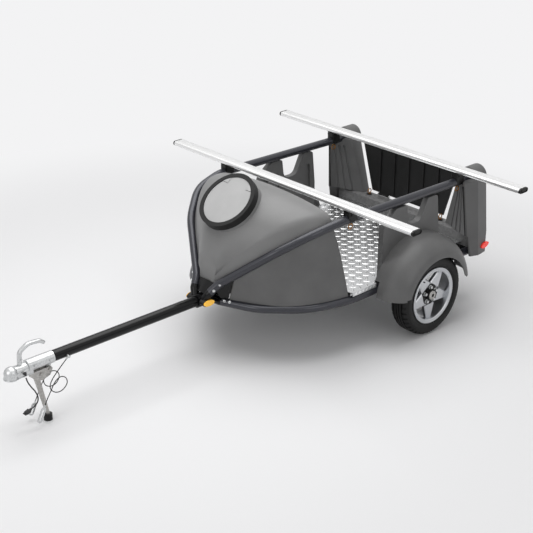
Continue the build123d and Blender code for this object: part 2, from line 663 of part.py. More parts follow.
# Nose bulkhead, a wall across the rear of the hood
bulkhead_plane = Plane(origin=(bulkhead_x, 0, 0), x_dir=(0, 1, 0), z_dir=(1, 0, 0))
bulkhead_low = deck_top_z + FIT_GAP
bulkhead_outline = [
    Line((-512, bulkhead_low), (512, bulkhead_low)),
    Line((512, bulkhead_low), (476, 760)),
    Line((476, 760), (430, 838)),
    ThreePointArc((430, 838), (0, 878), (-430, 838)),
    Line((-430, 838), (-476, 760)),
    Line((-476, 760), (-512, bulkhead_low)),
]
bulkhead = bulkhead_plane * extrude(make_face(Wire(bulkhead_outline)), PANEL_WALL)
save("nose_bulkhead", bulkhead)

# Lamps: amber side markers by the hub and red lamps low on the pillars
marker_housings = []
marker_lenses = []
tail_lamps = []
for name, side in SIDES:
    face = Plane(origin=(258, 0, TONGUE_Z + 4), x_dir=(1, 0, 0), z_dir=(0, 1, 0))
    housing = face * Pos(0, 0, 36) * extrude(Ellipse(40, 21), 36)
    housing -= bar(X_AXIS, TONGUE_DIA / 2 + 9 + FIT_GAP, (HUB_REAR_X, 0, TONGUE_Z), 300)
    housing -= hub
    lens = face * Pos(0, 0, 72 + FIT_GAP) * extrude(Ellipse(36, 17), 8)
    lamp = Plane(origin=(-1476, 612, 372), x_dir=(-0.97, 0, 0.24), z_dir=(0, 1, 0))
    red = lamp * extrude(Ellipse(34, 17), 10)
    marker_housings.append(handed(housing, side))
    marker_lenses.append(handed(lens, side))
    tail_lamps.append(handed(red - pillar, side))
save("side_marker_housings", *marker_housings)
save("side_marker_lenses", *marker_lenses)
save("tail_lamps", *tail_lamps)

# Tie-down rings, each a ring on its own stud
ring_places = (
    # x, y, z of the stud's root, direction of the stud
    (BAR_FRONT_X, UPPER_RAIL_Y, upper_rail_z(BAR_FRONT_X) - rail_r, -1),
    (rear_bar_x, UPPER_RAIL_Y, upper_rail_z(rear_bar_x) - rail_r, -1),
    (SILL_FRONT_X - 33, 300, SILL_TOP_Z, 1),
)
tie_rings = []
for x, y, z, up in ring_places:
    for name, side in SIDES:
        stud = bar(Z_AXIS, 9, (x, y, z + up * FIT_GAP - (6 if up < 0 else 0)), 6)
        loop = Pos(x, y, z + up * 22) * Rot(90, 0, 0) * Torus(15, 3)
        tie_rings.append(handed(stud + loop, side))
save("tie_down_rings", *tie_rings)

# Tailgate: a ribbed panel hinged on the sill
gate_points = ((-GATE_BOTTOM_HALF, GATE_BOTTOM_Z), (-GATE_TOP_HALF, GATE_TOP_Z),
               (GATE_TOP_HALF, GATE_TOP_Z), (GATE_BOTTOM_HALF, GATE_BOTTOM_Z))
gate_plane = Plane(origin=(GATE_X - GATE_THICK, 0, 0), x_dir=(0, 1, 0), z_dir=(1, 0, 0))
gate = gate_plane * extrude(make_face(Polyline(*gate_points, close=True)), GATE_THICK)
for y in (-240, -120, 0, 120, 240):
    gate += block(GATE_X - 1, GATE_X + GATE_RIB_HEIGHT, y - 11, y + 11,
                  GATE_BOTTOM_Z + 18, GATE_TOP_Z - 18)
gate += block(GATE_X - 1, GATE_X + GATE_RIB_HEIGHT, -350, 350, GATE_TOP_Z - 40, GATE_TOP_Z - 18)
hinge_x = GATE_X - GATE_THICK / 2
hinge_z = SILL_TOP_Z + 11
hinge_lugs = []
for y in (-200, 200):
    gate += bar(Y_AXIS, 7, (hinge_x, y - 40, hinge_z), 80)
    gate += block(GATE_X - GATE_THICK, GATE_X, y - 40, y + 40, hinge_z, GATE_BOTTOM_Z + 1)
    gate -= bar(Y_AXIS, 4 + FIT_GAP, (hinge_x, y - 50, hinge_z), 100)
    lug = bar(Y_AXIS, 4, (hinge_x, y - 50, hinge_z), 100)
    for edge in (y - 50, y + 42):
        lug += bar(Y_AXIS, 7, (hinge_x, edge, hinge_z), 8)
        lug += block(hinge_x - 7, hinge_x + 7, edge, edge + 8, SILL_TOP_Z, hinge_z)
    hinge_lugs.append(lug)
save("tailgate", gate)
save("gate_hinges", *hinge_lugs)

# Parking stand: head plates on the pivot, a tapered leg and a rubber foot
stand_pivot_x = sleeve_rear_x + STAND_PIVOT_AHEAD
stand_pivot_z = TONGUE_Z - sleeve_r - STAND_PIVOT_DROP
stand_foot_x = stand_pivot_x + STAND_FOOT_AHEAD
stand_lug = side_profile([
    (stand_pivot_x - 13, TONGUE_Z - sleeve_r - FIT_GAP),
    (stand_pivot_x + 13, TONGUE_Z - sleeve_r - FIT_GAP),
    (stand_pivot_x + 13, stand_pivot_z - 12), (stand_pivot_x - 13, stand_pivot_z - 12),
], -6, 6)
stand_lug += bar(Y_AXIS, 14, (stand_pivot_x, -6, stand_pivot_z), 12)
stand_lug += bar(Y_AXIS, 5, (stand_pivot_x, -21, stand_pivot_z), 42)
save("stand_lug", stand_lug)
head_points = [
    (stand_pivot_x - 8, stand_pivot_z + 14), (stand_pivot_x - 16, stand_pivot_z + 2),
    (stand_pivot_x - 12, stand_pivot_z - 12), (stand_pivot_x, stand_pivot_z - 32),
    (stand_pivot_x + 46, stand_pivot_z - 48), (stand_pivot_x + 88, stand_pivot_z - 32),
    (stand_pivot_x + 124, stand_pivot_z + 4), (stand_pivot_x + 124, stand_pivot_z + 14),
]
plates = side_profile(head_points, 14, 18) + side_profile(head_points, -18, -14)
plates -= bar(Y_AXIS, 5 + FIT_GAP, (stand_pivot_x, -30, stand_pivot_z), 60)
leg_top = Vector(stand_pivot_x + 74, 0, stand_pivot_z - 22)
leg_foot = Vector(stand_foot_x, 0, STAND_FOOT_HEIGHT)
leg_axis = leg_foot - leg_top
leg = Solid.make_cone(16, 11, leg_axis.length, Plane(origin=leg_top, z_dir=leg_axis))
web = side_profile([
    (stand_pivot_x + 48, stand_pivot_z - 44), (stand_pivot_x + 88, stand_pivot_z - 32),
    (stand_pivot_x + 118, stand_pivot_z + 2), (stand_pivot_x + 38, stand_pivot_z + 2),
], -14, 14)
save("stand_leg", plates + web + leg)
foot = bar(Z_AXIS, STAND_FOOT_DIA / 2, (stand_foot_x, 0, 0), STAND_FOOT_HEIGHT)
foot -= Solid.make_cone(16 + FIT_GAP, 11 + FIT_GAP, leg_axis.length,
                        Plane(origin=leg_top, z_dir=leg_axis))
save("stand_foot", foot)

# Safety cable eyes: a bolt into each side of the tongue, with a crimped barrel for the cable
BARREL_BACK = 20.0
EYE_DROP_DEG = 15.0
cable_start = Vector(1175.7, 39.0, 327.2)
cable_next = Vector(1206.0, 39.3, 302.0)
cable_run = (cable_next - cable_start).normalized()
barrel_root = cable_start - cable_run * BARREL_BACK
outward = Vector(0, math.cos(math.radians(EYE_DROP_DEG)), -math.sin(math.radians(EYE_DROP_DEG)))
eye_root = Vector(barrel_root.X, 0, TONGUE_Z) + outward * (TONGUE_DIA / 2 + FIT_GAP)
eye = Plane(origin=eye_root, z_dir=outward) * extrude(Circle(4.5), 14)
eye += Plane(origin=eye_root + outward * 13, z_dir=outward) * extrude(RegularPolygon(8, 6), 5)
eye += Plane(origin=barrel_root, z_dir=cable_run) * extrude(Circle(BARREL_DIA / 2), BARREL_BACK)
save("cable_eyes", handed(eye, 1), handed(eye, -1))


def cord_tube(name, points, diameter):
    """A free cord's tube: every arc as large as its two runs allow. Prints its radii."""
    points = [Vector(*point) for point in points]
    radii = []
    for before, corner, after in zip(points, points[1:], points[2:]):
        run_in, run_out = corner - before, after - corner
        half_turn = math.radians(run_in.get_angle(run_out)) / 2
        radii.append(0.45 * min(run_in.length, run_out.length) / math.tan(half_turn))
    path = FilletPolyline(*points, radius=radii)
    tube = sweep(Plane(origin=path @ 0, z_dir=path % 0) * Circle(diameter / 2), path=path)
    expected = math.pi * diameter ** 2 / 4 * path.length
    print(name, "length", round(path.length), "smallest radius", round(min(radii), 1),
          "volume over section x length", round(tube.volume / expected, 4))
    save(name, tube)
    return path


# Safety cables: each leaves its eye, makes one loose loop and ends in its hook
left_cable = (
    cable_start, cable_next, (1236, 39.8, 276), (1264, 40.3, 250), (1283, 41, 222),
    (1285, 42, 198), (1272, 43, 177), (1252, 44, 163.5), (1228, 45, 161), (1206, 46, 170),
    (1189, 47, 187), (1184, 48, 207), (1190, 49, 228), (1208, 50, 245.5), (1229, 51, 249),
    (1251, 52, 240), (1269, 53, 223), (1287, 54, 194), (1313, 54.8, 158), (1330, 55.3, 125),
)
right_cable = (
    (cable_start.X, -cable_start.Y, cable_start.Z), (cable_next.X, -cable_next.Y, cable_next.Z),
    (1236, -39.8, 272), (1259, -40.3, 241), (1272, -41, 208), (1266, -42, 178),
    (1245, -43, 159), (1217, -44, 152), (1192, -45, 160), (1175, -46, 179), (1171, -47, 203),
    (1183, -48, 224), (1204, -49, 236), (1228, -50, 234), (1249, -51, 220), (1265, -52, 199),
    (1283, -53, 169), (1303, -54, 133), (1319, -54.6, 100),
)
left_path = cord_tube("safety_cable_left", left_cable, CABLE_DIA)
right_path = cord_tube("safety_cable_right", right_cable, CABLE_DIA)

# Snap hooks: a crimped barrel that meets the cable's end, and a flat oval link below it
cable_hooks = []
for path, length in ((left_path, 86.0), (right_path, 72.0)):
    tip = path @ 1
    down = path % 1
    barrel = Plane(origin=tip, z_dir=down) * extrude(Circle(BARREL_DIA / 2), 18)
    across = Vector(0, 1, 0).cross(down)
    flat = Plane(origin=tip + down * (12 + length / 2), x_dir=down, z_dir=down.cross(across))
    link = SlotOverall(length, HOOK_WIDTH) - Pos(2, 0) * SlotOverall(length - 22, HOOK_WIDTH - 15)
    link = flat * Pos(0, 0, -HOOK_THICK / 2) * extrude(link, HOOK_THICK)
    cable_hooks.append(barrel + link)
save("cable_hooks", *cable_hooks)

# Wiring lead from a moulded strain relief on the coupler's left side to its flat plug
LEAD_X = 1416.0
RELIEF_LENGTH = 17.0
relief_y = 30 + SKIRT_FLANGE + FIT_GAP + 6
lead_points = (
    (LEAD_X, relief_y, skirt_low + 9), (1412, 41, 288), (1396, 42.5, 254), (1370, 43.5, 214),
    (1357, 44, 170), (1374, 45, 140), (1406, 46, 129.5),
)
relief_back = Vector(*lead_points[0]) - Vector(*lead_points[1])
relief = Plane(origin=Vector(*lead_points[0]), z_dir=relief_back) * Pos(
    0, 0, RELIEF_LENGTH / 2) * Cone(LEAD_DIA / 2 + 1.5, 6, RELIEF_LENGTH)
relief += block(LEAD_X - 6, LEAD_X + 8, 30 + FIT_GAP, relief_y, skirt_low + 13, skirt_low + 25)
save("wiring_grommet", relief)
lead_path = cord_tube("wiring_lead", lead_points, LEAD_DIA)
plug_at = lead_path @ 1
plug_out = lead_path % 1
plug_plane = Plane(origin=plug_at, x_dir=Vector(0, 1, 0), z_dir=plug_out)
plug = plug_plane * extrude(RectangleRounded(14, 11, 4), 12)
plug += plug_plane * Pos(0, 0, 11) * extrude(RectangleRounded(30, 11, 3), 24)
for offset in (-10, 0, 10):
    plug += plug_plane * Pos(offset, 0, 34) * extrude(Circle(3.4), 12)
save("wiring_plug", plug)
print("built")
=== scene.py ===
import math
import bmesh
import bpy
from mathutils import Matrix, Vector


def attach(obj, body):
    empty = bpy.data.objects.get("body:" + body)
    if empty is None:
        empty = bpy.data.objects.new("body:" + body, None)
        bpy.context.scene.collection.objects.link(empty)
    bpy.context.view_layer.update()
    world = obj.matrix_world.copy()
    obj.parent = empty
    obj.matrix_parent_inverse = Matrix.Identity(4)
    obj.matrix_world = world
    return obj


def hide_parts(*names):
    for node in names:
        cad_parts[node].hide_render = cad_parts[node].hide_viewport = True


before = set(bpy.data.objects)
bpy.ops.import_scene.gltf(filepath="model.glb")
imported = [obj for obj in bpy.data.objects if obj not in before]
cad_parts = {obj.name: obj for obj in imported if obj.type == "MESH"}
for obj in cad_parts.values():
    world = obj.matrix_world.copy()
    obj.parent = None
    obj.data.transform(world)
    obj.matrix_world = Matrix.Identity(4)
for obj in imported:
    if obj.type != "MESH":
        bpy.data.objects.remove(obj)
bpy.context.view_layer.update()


# STUDIO
# A pale painted floor below a large overhead softbox, in a pale room. The camera stands
# high on the trailer's front left, as the photograph was taken.
def linear(hex_colour):
    """An sRGB hex value as a linear colour."""
    steps = [int(hex_colour[i:i + 2], 16) / 255 for i in (1, 3, 5)]
    return (*[c / 12.92 if c <= 0.04045 else ((c + 0.055) / 1.055) ** 2.4 for c in steps], 1)


def add(tree, kind, links=None, **settings):
    """Adds a shader node with its settings; links gives each input a value or an output."""
    made = tree.nodes.new("ShaderNode" + kind)
    for name, value in settings.items():
        setattr(made, name, value)
    for name, value in (links or {}).items():
        if isinstance(value, bpy.types.NodeSocket):
            tree.links.new(value, made.inputs[name])
        else:
            made.inputs[name].default_value = value
    return made


def finish(name):
    """A new, empty material and its node tree."""
    made = bpy.data.materials.new(name)
    made.use_nodes = True
    made.node_tree.nodes.clear()
    return made, made.node_tree


def ramp(tree, factor, low, high, span=(0, 1)):
    """A ramp from the colour low to the colour high over the span of the factor."""
    made = add(tree, "ValToRGB", {"Fac": factor})
    for stop, position, colour in zip(made.color_ramp.elements, span, (low, high)):
        stop.position = position
        stop.color = linear(colour)
    return made.outputs["Color"]


bpy.ops.object.select_all(action="DESELECT")
bpy.ops.mesh.primitive_plane_add(size=60, location=(0, 0, 0))
floor = bpy.context.object
floor.name = "studio_floor"
floor_paint, tree = finish("matt floor paint")
rays = add(tree, "LightPath").outputs
skin = add(tree, "BsdfPrincipled", {
    "Base Color": linear("#EFEFF0"), "Roughness": 0.8, "Specular IOR Level": 0.2})
# a flat pale tone that takes the trailer's shadow; from 1.7 m out it fades, and from 3.8 m
# on it is the backdrop's own tone wherever it is seen
place = add(tree, "TexCoord").outputs["Object"]
away = add(tree, "VectorMath", {0: place}, operation="LENGTH").outputs["Value"]
fade = add(tree, "MapRange", {"Value": away, "From Min": 1.7, "From Max": 3.8},
           interpolation_type="SMOOTHSTEP")
seen = add(tree, "Math", {0: rays["Is Camera Ray"], 1: rays["Is Glossy Ray"]},
           operation="MAXIMUM")
seen = add(tree, "Math", {0: seen.outputs[0], 1: rays["Is Transmission Ray"]},
           operation="MAXIMUM")
part = add(tree, "Math", {0: fade.outputs[0], 1: seen.outputs[0]}, operation="MULTIPLY")
pale = add(tree, "Emission", {"Color": linear("#F3F3F4"), "Strength": 1.0})
mixed = add(tree, "MixShader", {0: part.outputs[0], 1: skin.outputs[0], 2: pale.outputs[0]})
add(tree, "OutputMaterial", {"Surface": mixed.outputs[0]})
floor.data.materials.append(floor_paint)

room = bpy.data.worlds.new("pale_room")
bpy.context.scene.world = room
room.use_nodes = True
tree = room.node_tree
tree.nodes.clear()
way = add(tree, "TexCoord").outputs["Generated"]
height = add(tree, "SeparateXYZ", {"Vector": way}).outputs["Z"]
wall = ramp(tree, height, "#B0B1B3", "#FFFFFF", (0.0, 0.4))
rays = add(tree, "LightPath").outputs
pale = add(tree, "Background", {"Color": linear("#F2F2F3"), "Strength": 1.0})
reflected = add(tree, "Background", {"Color": wall, "Strength": 0.9})
ambient = add(tree, "Background", {"Color": linear("#F8F8F8"), "Strength": 0.45})
direct = add(tree, "MixShader", {0: rays["Is Glossy Ray"], 1: ambient.outputs[0],
                                 2: reflected.outputs[0]})
clear = add(tree, "Math", {0: rays["Is Camera Ray"], 1: rays["Is Transmission Ray"]},
            operation="MAXIMUM")
mixed = add(tree, "MixShader", {0: clear.outputs[0], 1: direct.outputs[0], 2: pale.outputs[0]})
add(tree, "OutputWorld", {"Surface": mixed.outputs[0]})

for name, place, aim, size, watts in (
    # softbox, where it hangs, what it points at, side in metres, power
    ("overhead_softbox", (-0.2, -0.5, 4.2), (-0.1, 0.0, 0.4), 4.2, 140),
    ("front_fill", (4.8, 0.6, 2.6), (0.0, 0.2, 0.5), 2.4, 32),
    ("left_fill", (0.2, 5.2, 2.4), (-0.3, 0.2, 0.4), 2.4, 20),
):
    lamp = bpy.data.lights.new(name, "AREA")
    lamp.size = size
    lamp.energy = watts
    holder = bpy.data.objects.new(name, lamp)
    holder.location = place
    holder.rotation_euler = (Vector(aim) - Vector(place)).to_track_quat("-Z", "Y").to_euler()
    bpy.context.collection.objects.link(holder)

# solved from the photograph, in degrees: how far it looks down, and along which heading
look_down, heading = 24.49, 227.643
lens = bpy.data.cameras.new("photo_camera")
lens.lens = 82.55
lens.sensor_width = 36
camera = bpy.data.objects.new("photo_camera", lens)
camera.location = (4.1071, 4.7685, 3.3374)
camera.rotation_euler = (math.radians(90 - look_down), 0, math.radians(heading - 90))
bpy.context.collection.objects.link(camera)
bpy.context.scene.camera = camera
bpy.context.scene.view_settings.view_transform = "Standard"


# SAFETY CABLES AND WIRING LEAD
# Two 5 mm wire ropes in black plastic sheath, each with one loose loop below the tongue,
# and the 7 mm rubber lead that hangs from the coupler to its flat plug.
def route(name, points, diameter):
    """A cord as a curve along its route."""
    line = bpy.data.curves.new(name, "CURVE")
    line.dimensions = "3D"
    spline = line.splines.new("NURBS")
    spline.points.add(len(points) - 1)
    for point, place in zip(spline.points, points):
        point.co = (*place, 1)
    spline.order_u = 3
    spline.use_endpoint_u = True
    spline.resolution_u = 10
    line.bevel_depth = diameter / 2
    line.bevel_resolution = 5
    line.use_fill_caps = True
    piece = bpy.data.objects.new(name, line)
    bpy.context.collection.objects.link(piece)
    return piece


left_cable = route("left_safety_cable", (
    (1.1757, 0.0390, 0.3272), (1.2060, 0.0393, 0.3020), (1.2360, 0.0398, 0.2760),
    (1.2640, 0.0403, 0.2500), (1.2830, 0.0410, 0.2220), (1.2850, 0.0420, 0.1980),
    (1.2720, 0.0430, 0.1770), (1.2520, 0.0440, 0.1635), (1.2280, 0.0450, 0.1610),
    (1.2060, 0.0460, 0.1700), (1.1890, 0.0470, 0.1870), (1.1840, 0.0480, 0.2070),
    (1.1900, 0.0490, 0.2280), (1.2080, 0.0500, 0.2455), (1.2290, 0.0510, 0.2490),
    (1.2510, 0.0520, 0.2400), (1.2690, 0.0530, 0.2230), (1.2870, 0.0540, 0.1940),
    (1.3130, 0.0548, 0.1580), (1.3300, 0.0553, 0.1250),
), 0.005)
right_cable = route("right_safety_cable", (
    (1.1757, -0.0390, 0.3272), (1.2060, -0.0393, 0.3020), (1.2360, -0.0398, 0.2720),
    (1.2590, -0.0403, 0.2410), (1.2720, -0.0410, 0.2080), (1.2660, -0.0420, 0.1780),
    (1.2450, -0.0430, 0.1590), (1.2170, -0.0440, 0.1520), (1.1920, -0.0450, 0.1600),
    (1.1750, -0.0460, 0.1790), (1.1710, -0.0470, 0.2030), (1.1830, -0.0480, 0.2240),
    (1.2040, -0.0490, 0.2360), (1.2280, -0.0500, 0.2340), (1.2490, -0.0510, 0.2200),
    (1.2650, -0.0520, 0.1990), (1.2830, -0.0530, 0.1690), (1.3030, -0.0540, 0.1330),
    (1.3190, -0.0546, 0.1000),
), 0.005)
lead = route("plug_lead", (
    (1.4160, 0.0403, 0.3100), (1.4120, 0.0410, 0.2880), (1.3960, 0.0425, 0.2540),
    (1.3700, 0.0435, 0.2140), (1.3570, 0.0440, 0.1700), (1.3740, 0.0450, 0.1400),
    (1.4060, 0.0460, 0.1295),
), 0.007)


def surface(tree, links):
    """Ends a material in the principled shader with these inputs."""
    skin = add(tree, "BsdfPrincipled", links)
    add(tree, "OutputMaterial", {"Surface": skin.outputs["BSDF"]})


# Plastic sheath over wire rope: glossy, with faint ridges where the strands show through.
# The strands lie 1.5 mm apart and are drawn 3 mm apart.
sheath, tree = finish("plastic sheath on wire rope")
place = add(tree, "TexCoord").outputs["Object"]
strands = add(tree, "TexWave", {"Vector": place, "Scale": 330, "Distortion": 0.6},
              bands_direction="DIAGONAL")
ridge = add(tree, "Bump", {"Height": strands.outputs["Fac"], "Strength": 0.25, "Distance": 0.0004})
surface(tree, {
    "Base Color": linear("#0A0A0A"), "Roughness": 0.4, "IOR": 1.5,
    "Specular IOR Level": 0.25, "Normal": ridge.outputs[0]})

# Extruded rubber: a soft dark grey skin with slight flow marks 4 mm apart.
lead_rubber, tree = finish("extruded rubber")
place = add(tree, "TexCoord").outputs["Object"]
flow = add(tree, "TexNoise", {"Vector": place, "Scale": 250, "Detail": 3})
tint = ramp(tree, flow.outputs["Fac"], "#131314", "#242426")
grain = add(tree, "Bump", {"Height": flow.outputs["Fac"], "Strength": 0.2, "Distance": 0.0003})
surface(tree, {
    "Base Color": tint, "Roughness": 0.5, "IOR": 1.5, "Normal": grain.outputs[0]})

for piece, node in ((left_cable, "safety_cable_left"), (right_cable, "safety_cable_right")):
    piece.data.materials.append(sheath)
    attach(piece, "chassis")
    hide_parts(node)
    side = 1 if node.endswith("left") else -1
lead.data.materials.append(lead_rubber)
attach(lead, "chassis")
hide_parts("wiring_lead")


def coat(material, *names):
    """Gives CAD nodes their finish, and smooth shading up to 30 degree edges."""
    for name in names:
        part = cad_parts[name]
        part.data.materials.clear()
        part.data.materials.append(material)
        part.data.polygons.foreach_set("use_smooth", [True] * len(part.data.polygons))
        weld = part.modifiers.new("weld", "WELD")
        weld.merge_threshold = 0.00002
        split = part.modifiers.new("split", "EDGE_SPLIT")
        split.split_angle = math.radians(30)


coat(lead_rubber, "wiring_plug", "wiring_grommet")


# COUPLER AND ITS HARDWARE
# The coupler sleeve and nose are pressed and cast steel, plated with bright zinc, and so
# are the lever, the cable eyes, the snap hooks, the stand's lug and the gate's hinges.

# pale and bright with a soft cloudy sheen
zinc, tree = finish("bright zinc plate on steel")
place = add(tree, "TexCoord").outputs["Object"]
# spangle of the plating, about 6 mm
cloud = add(tree, "TexNoise", {"Vector": place, "Scale": 160, "Detail": 4, "Roughness": 0.6})
tint = ramp(tree, cloud.outputs["Fac"], "#BDBFC0", "#DCDDDD", (0.3, 0.7))
sheen = add(tree, "MapRange", {"Value": cloud.outputs["Fac"], "To Min": 0.24, "To Max": 0.4})
grain = add(tree, "Bump", {"Height": cloud.outputs["Fac"], "Strength": 0.12, "Distance": 0.0005})
surface(tree, {
    "Base Color": tint, "Metallic": 1.0, "Roughness": sheen.outputs[0],
    "Normal": grain.outputs[0]})
coat(zinc, "coupler_body", "coupler_handle", "cable_eyes", "cable_hooks", "stand_lug",
     "gate_hinges")


def start(kind, **sizes):
    """Adds a primitive, alone in the selection, with its place put into its mesh."""
    bpy.ops.object.select_all(action="DESELECT")
    getattr(bpy.ops.mesh, f"primitive_{kind}_add")(**sizes)
    bpy.ops.object.transform_apply(location=True, rotation=True, scale=True)
    return bpy.context.object


def edit(piece):
    """Opens a piece alone in edit mode."""
    bpy.ops.object.select_all(action="DESELECT")
    piece.select_set(True)
    bpy.context.view_layer.objects.active = piece
    bpy.ops.object.mode_set(mode="EDIT")


def pick(piece, kind, test):
    """In edit mode, selects the faces, edges or verts whose centre (and normal) passes."""
    bpy.ops.mesh.select_mode(type={"faces": "FACE", "edges": "EDGE", "verts": "VERT"}[kind])
    bpy.ops.mesh.select_all(action="DESELECT")
    mesh = bmesh.from_edit_mesh(piece.data)
    for item in getattr(mesh, kind):
        corners = [item] if kind == "verts" else item.verts
        centre = sum((v.co for v in corners), Vector()) / len(corners)
        way = item.normal if kind != "edges" else corners[1].co - corners[0].co
        item.select_set(bool(test(centre, way)))
    mesh.select_flush_mode()
    bmesh.update_edit_mesh(piece.data)


def set_out(master, places):
    """Copies a piece that stands on the origin along +Z to each place and direction."""
    if bpy.context.mode != "OBJECT":
        bpy.ops.object.mode_set(mode="OBJECT")
    copies = []
    for place, way in places:
        bpy.ops.object.select_all(action="DESELECT")
        master.select_set(True)
        bpy.context.view_layer.objects.active = master
        bpy.ops.object.duplicate()
        copy = bpy.context.object
        turn = Vector((0, 0, 1)).rotation_difference(Vector(way)).to_matrix().to_4x4()
        copy.data.transform(Matrix.Translation(place) @ turn)
        copies.append(copy)
    bpy.data.objects.remove(master)
    for copy in copies:
        copy.select_set(True)
    bpy.ops.object.join()
    return bpy.context.object


def fit(piece, name, material, body, angle=30, instead=()):
    """Names a finished piece, shades it, and puts it on its body."""
    if bpy.context.mode != "OBJECT":
        bpy.ops.object.mode_set(mode="OBJECT")
    piece.name = name
    piece.data.materials.clear()
    piece.data.materials.append(material)
    bpy.ops.object.select_all(action="DESELECT")
    piece.select_set(True)
    bpy.context.view_layer.objects.active = piece
    bpy.ops.object.shade_smooth_by_angle(angle=math.radians(angle))
    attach(piece, body)
    if instead:
        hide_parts(*instead)


def thicken(piece, thickness, offset=-1):
    """Gives the active open sheet its thickness; offset 0 lays half on each side."""
    wall = piece.modifiers.new("wall", "SOLIDIFY")
    wall.thickness = thickness
    wall.offset = offset
    bpy.ops.object.modifier_apply(modifier="wall")


def bolt(head, high):
    """A hexagon bolt head on its washer; head is its corner radius, high its height."""
    piece = start("cylinder", vertices=20, radius=head * 1.3, depth=0.0016,
                  location=(0, 0, 0.0006))
    bpy.ops.object.mode_set(mode="EDIT")
    bpy.ops.mesh.primitive_cylinder_add(
        vertices=6, radius=head, depth=high, location=(0, 0, 0.0014 + high / 2))
    pick(piece, "faces", lambda c, n: n.z > 0.9 and c.z > high)
    bpy.ops.mesh.inset(thickness=head * 0.16)
    bpy.ops.transform.translate(value=(0, 0, head * 0.12))
    bpy.ops.mesh.inset(thickness=head * 0.22)
    bpy.ops.transform.translate(value=(0, 0, -head * 0.06))
    bpy.ops.object.mode_set(mode="OBJECT")
    return piece


# A pressed cover slopes from the neck to the nose, over the cast socket.
housing = start("cylinder", vertices=40, radius=0.0268, depth=0.012,
                location=(1.396, 0, 0.346), rotation=(0, math.pi / 2, 0))
bpy.ops.object.mode_set(mode="EDIT")
pick(housing, "faces", lambda c, n: n.x > 0.9)
for ahead, drop, grow in (
    (0.020, 0.003, 1.06), (0.020, 0.005, 1.10), (0.020, 0.006, 1.12), (0.013, 0.005, 1.068),
):
    bpy.ops.mesh.extrude_region_move(TRANSFORM_OT_translate={"value": (ahead, 0, -drop)})
    bpy.ops.transform.resize(value=(1, grow, grow))
pick(housing, "faces", lambda c, n: abs(n.x) > 0.9)
bpy.ops.mesh.delete(type="FACE")
bpy.ops.mesh.select_all(action="SELECT")
bpy.ops.mesh.bisect(plane_co=(0, 0, 0.331), plane_no=(0, 0, 1), clear_inner=True)
bpy.ops.object.mode_set(mode="OBJECT")
thicken(housing, 0.0015)
fit(housing, "coupler_cover", zinc, "chassis", 40)

# Two bolts clamp the sleeve to the tongue, nuts on the far side, and a pin holds the lever.
fit(set_out(bolt(0.0085, 0.006), [
    ((x, side * 0.0328, 0.352), (0, side, 0)) for x in (1.262, 1.352) for side in (1, -1)
]), "sleeve_bolts", zinc, "chassis")
fit(set_out(bolt(0.006, 0.004), [
    ((1.4185, side * 0.0118, 0.402), (0, side, 0)) for side in (1, -1)
]), "lever_pin", zinc, "chassis")


# PARKING STAND
# Two pressed head plates and a square tapered leg, dull galvanised steel, on a rubber foot.
# It hangs from the lug below the coupler by its pivot bolt and folds back under the tongue.

# a warm dull grey with hardly any reflection, mottled by the zinc's crystals
galvanised, tree = finish("dull galvanised steel")
place = add(tree, "TexCoord").outputs["Object"]
cells = add(tree, "TexVoronoi", {"Vector": place, "Scale": 110})
cloud = add(tree, "TexNoise", {"Vector": place, "Scale": 60, "Detail": 4})
blend = add(tree, "Math", {0: cells.outputs["Distance"], 1: cloud.outputs["Fac"]},
            operation="MULTIPLY")
tint = ramp(tree, blend.outputs[0], "#A3A19E", "#C2C0BD", (0, 0.5))
surface(tree, {
    "Base Color": tint, "Metallic": 0.85, "Roughness": 0.46})
coat(galvanised, "stand_leg")
# the pivot bolt and the head's two plate bolts
fit(set_out(bolt(0.009, 0.006), [
    ((x, side * 0.0176, z), (0, side, 0)) for side in (1, -1)
    for x, z in ((1.262, 0.294), (1.316, 0.284))
]), "stand_bolts", galvanised, "stand")

# Moulded rubber: matt, with a fine mould grain drawn at 5 mm.
moulded_rubber, tree = finish("moulded rubber")
place = add(tree, "TexCoord").outputs["Object"]
cloud = add(tree, "TexNoise", {"Vector": place, "Scale": 200, "Detail": 5})
tint = ramp(tree, cloud.outputs["Fac"], "#0A0A0A", "#161616")
grain = add(tree, "Bump", {"Height": cloud.outputs["Fac"], "Strength": 0.3, "Distance": 0.0005})
surface(tree, {
    "Base Color": tint, "Roughness": 0.55, "IOR": 1.52, "Specular IOR Level": 0.3,
    "Normal": grain.outputs[0]})
coat(moulded_rubber, "stand_foot", "hatch_ring")


# TONGUE, COLLAR AND UNDERFRAME
# A steel tube, its collar with four rail stubs, and the beams below: welded steel in gloss
# black powder coat. Pressed plates close the corners round the collar; the black of the two side
# plates is painted shade.

# deep black with narrow highlights along the tubes
black_coat, tree = finish("gloss black powder coat")
place = add(tree, "TexCoord").outputs["Object"]
# orange peel of the coat, about 3 mm, drawn at 8 mm
peel = add(tree, "TexNoise", {"Vector": place, "Scale": 125, "Detail": 2})
grain = add(tree, "Bump", {"Height": peel.outputs["Fac"], "Strength": 0.1, "Distance": 0.0006})
tint = ramp(tree, peel.outputs["Fac"], "#070708", "#0E0E0F")
surface(tree, {
    "Base Color": tint, "Roughness": 0.2, "IOR": 1.5, "Specular IOR Level": 0.22,
    "Coat Weight": 0.1, "Coat Roughness": 0.05, "Normal": grain.outputs[0]})
coat(black_coat, "tongue_tube", "tongue_hub", "cross_members", "axle_beam",
     "axle_arm_left", "axle_arm_right", "wheel_hub_left", "wheel_hub_right")

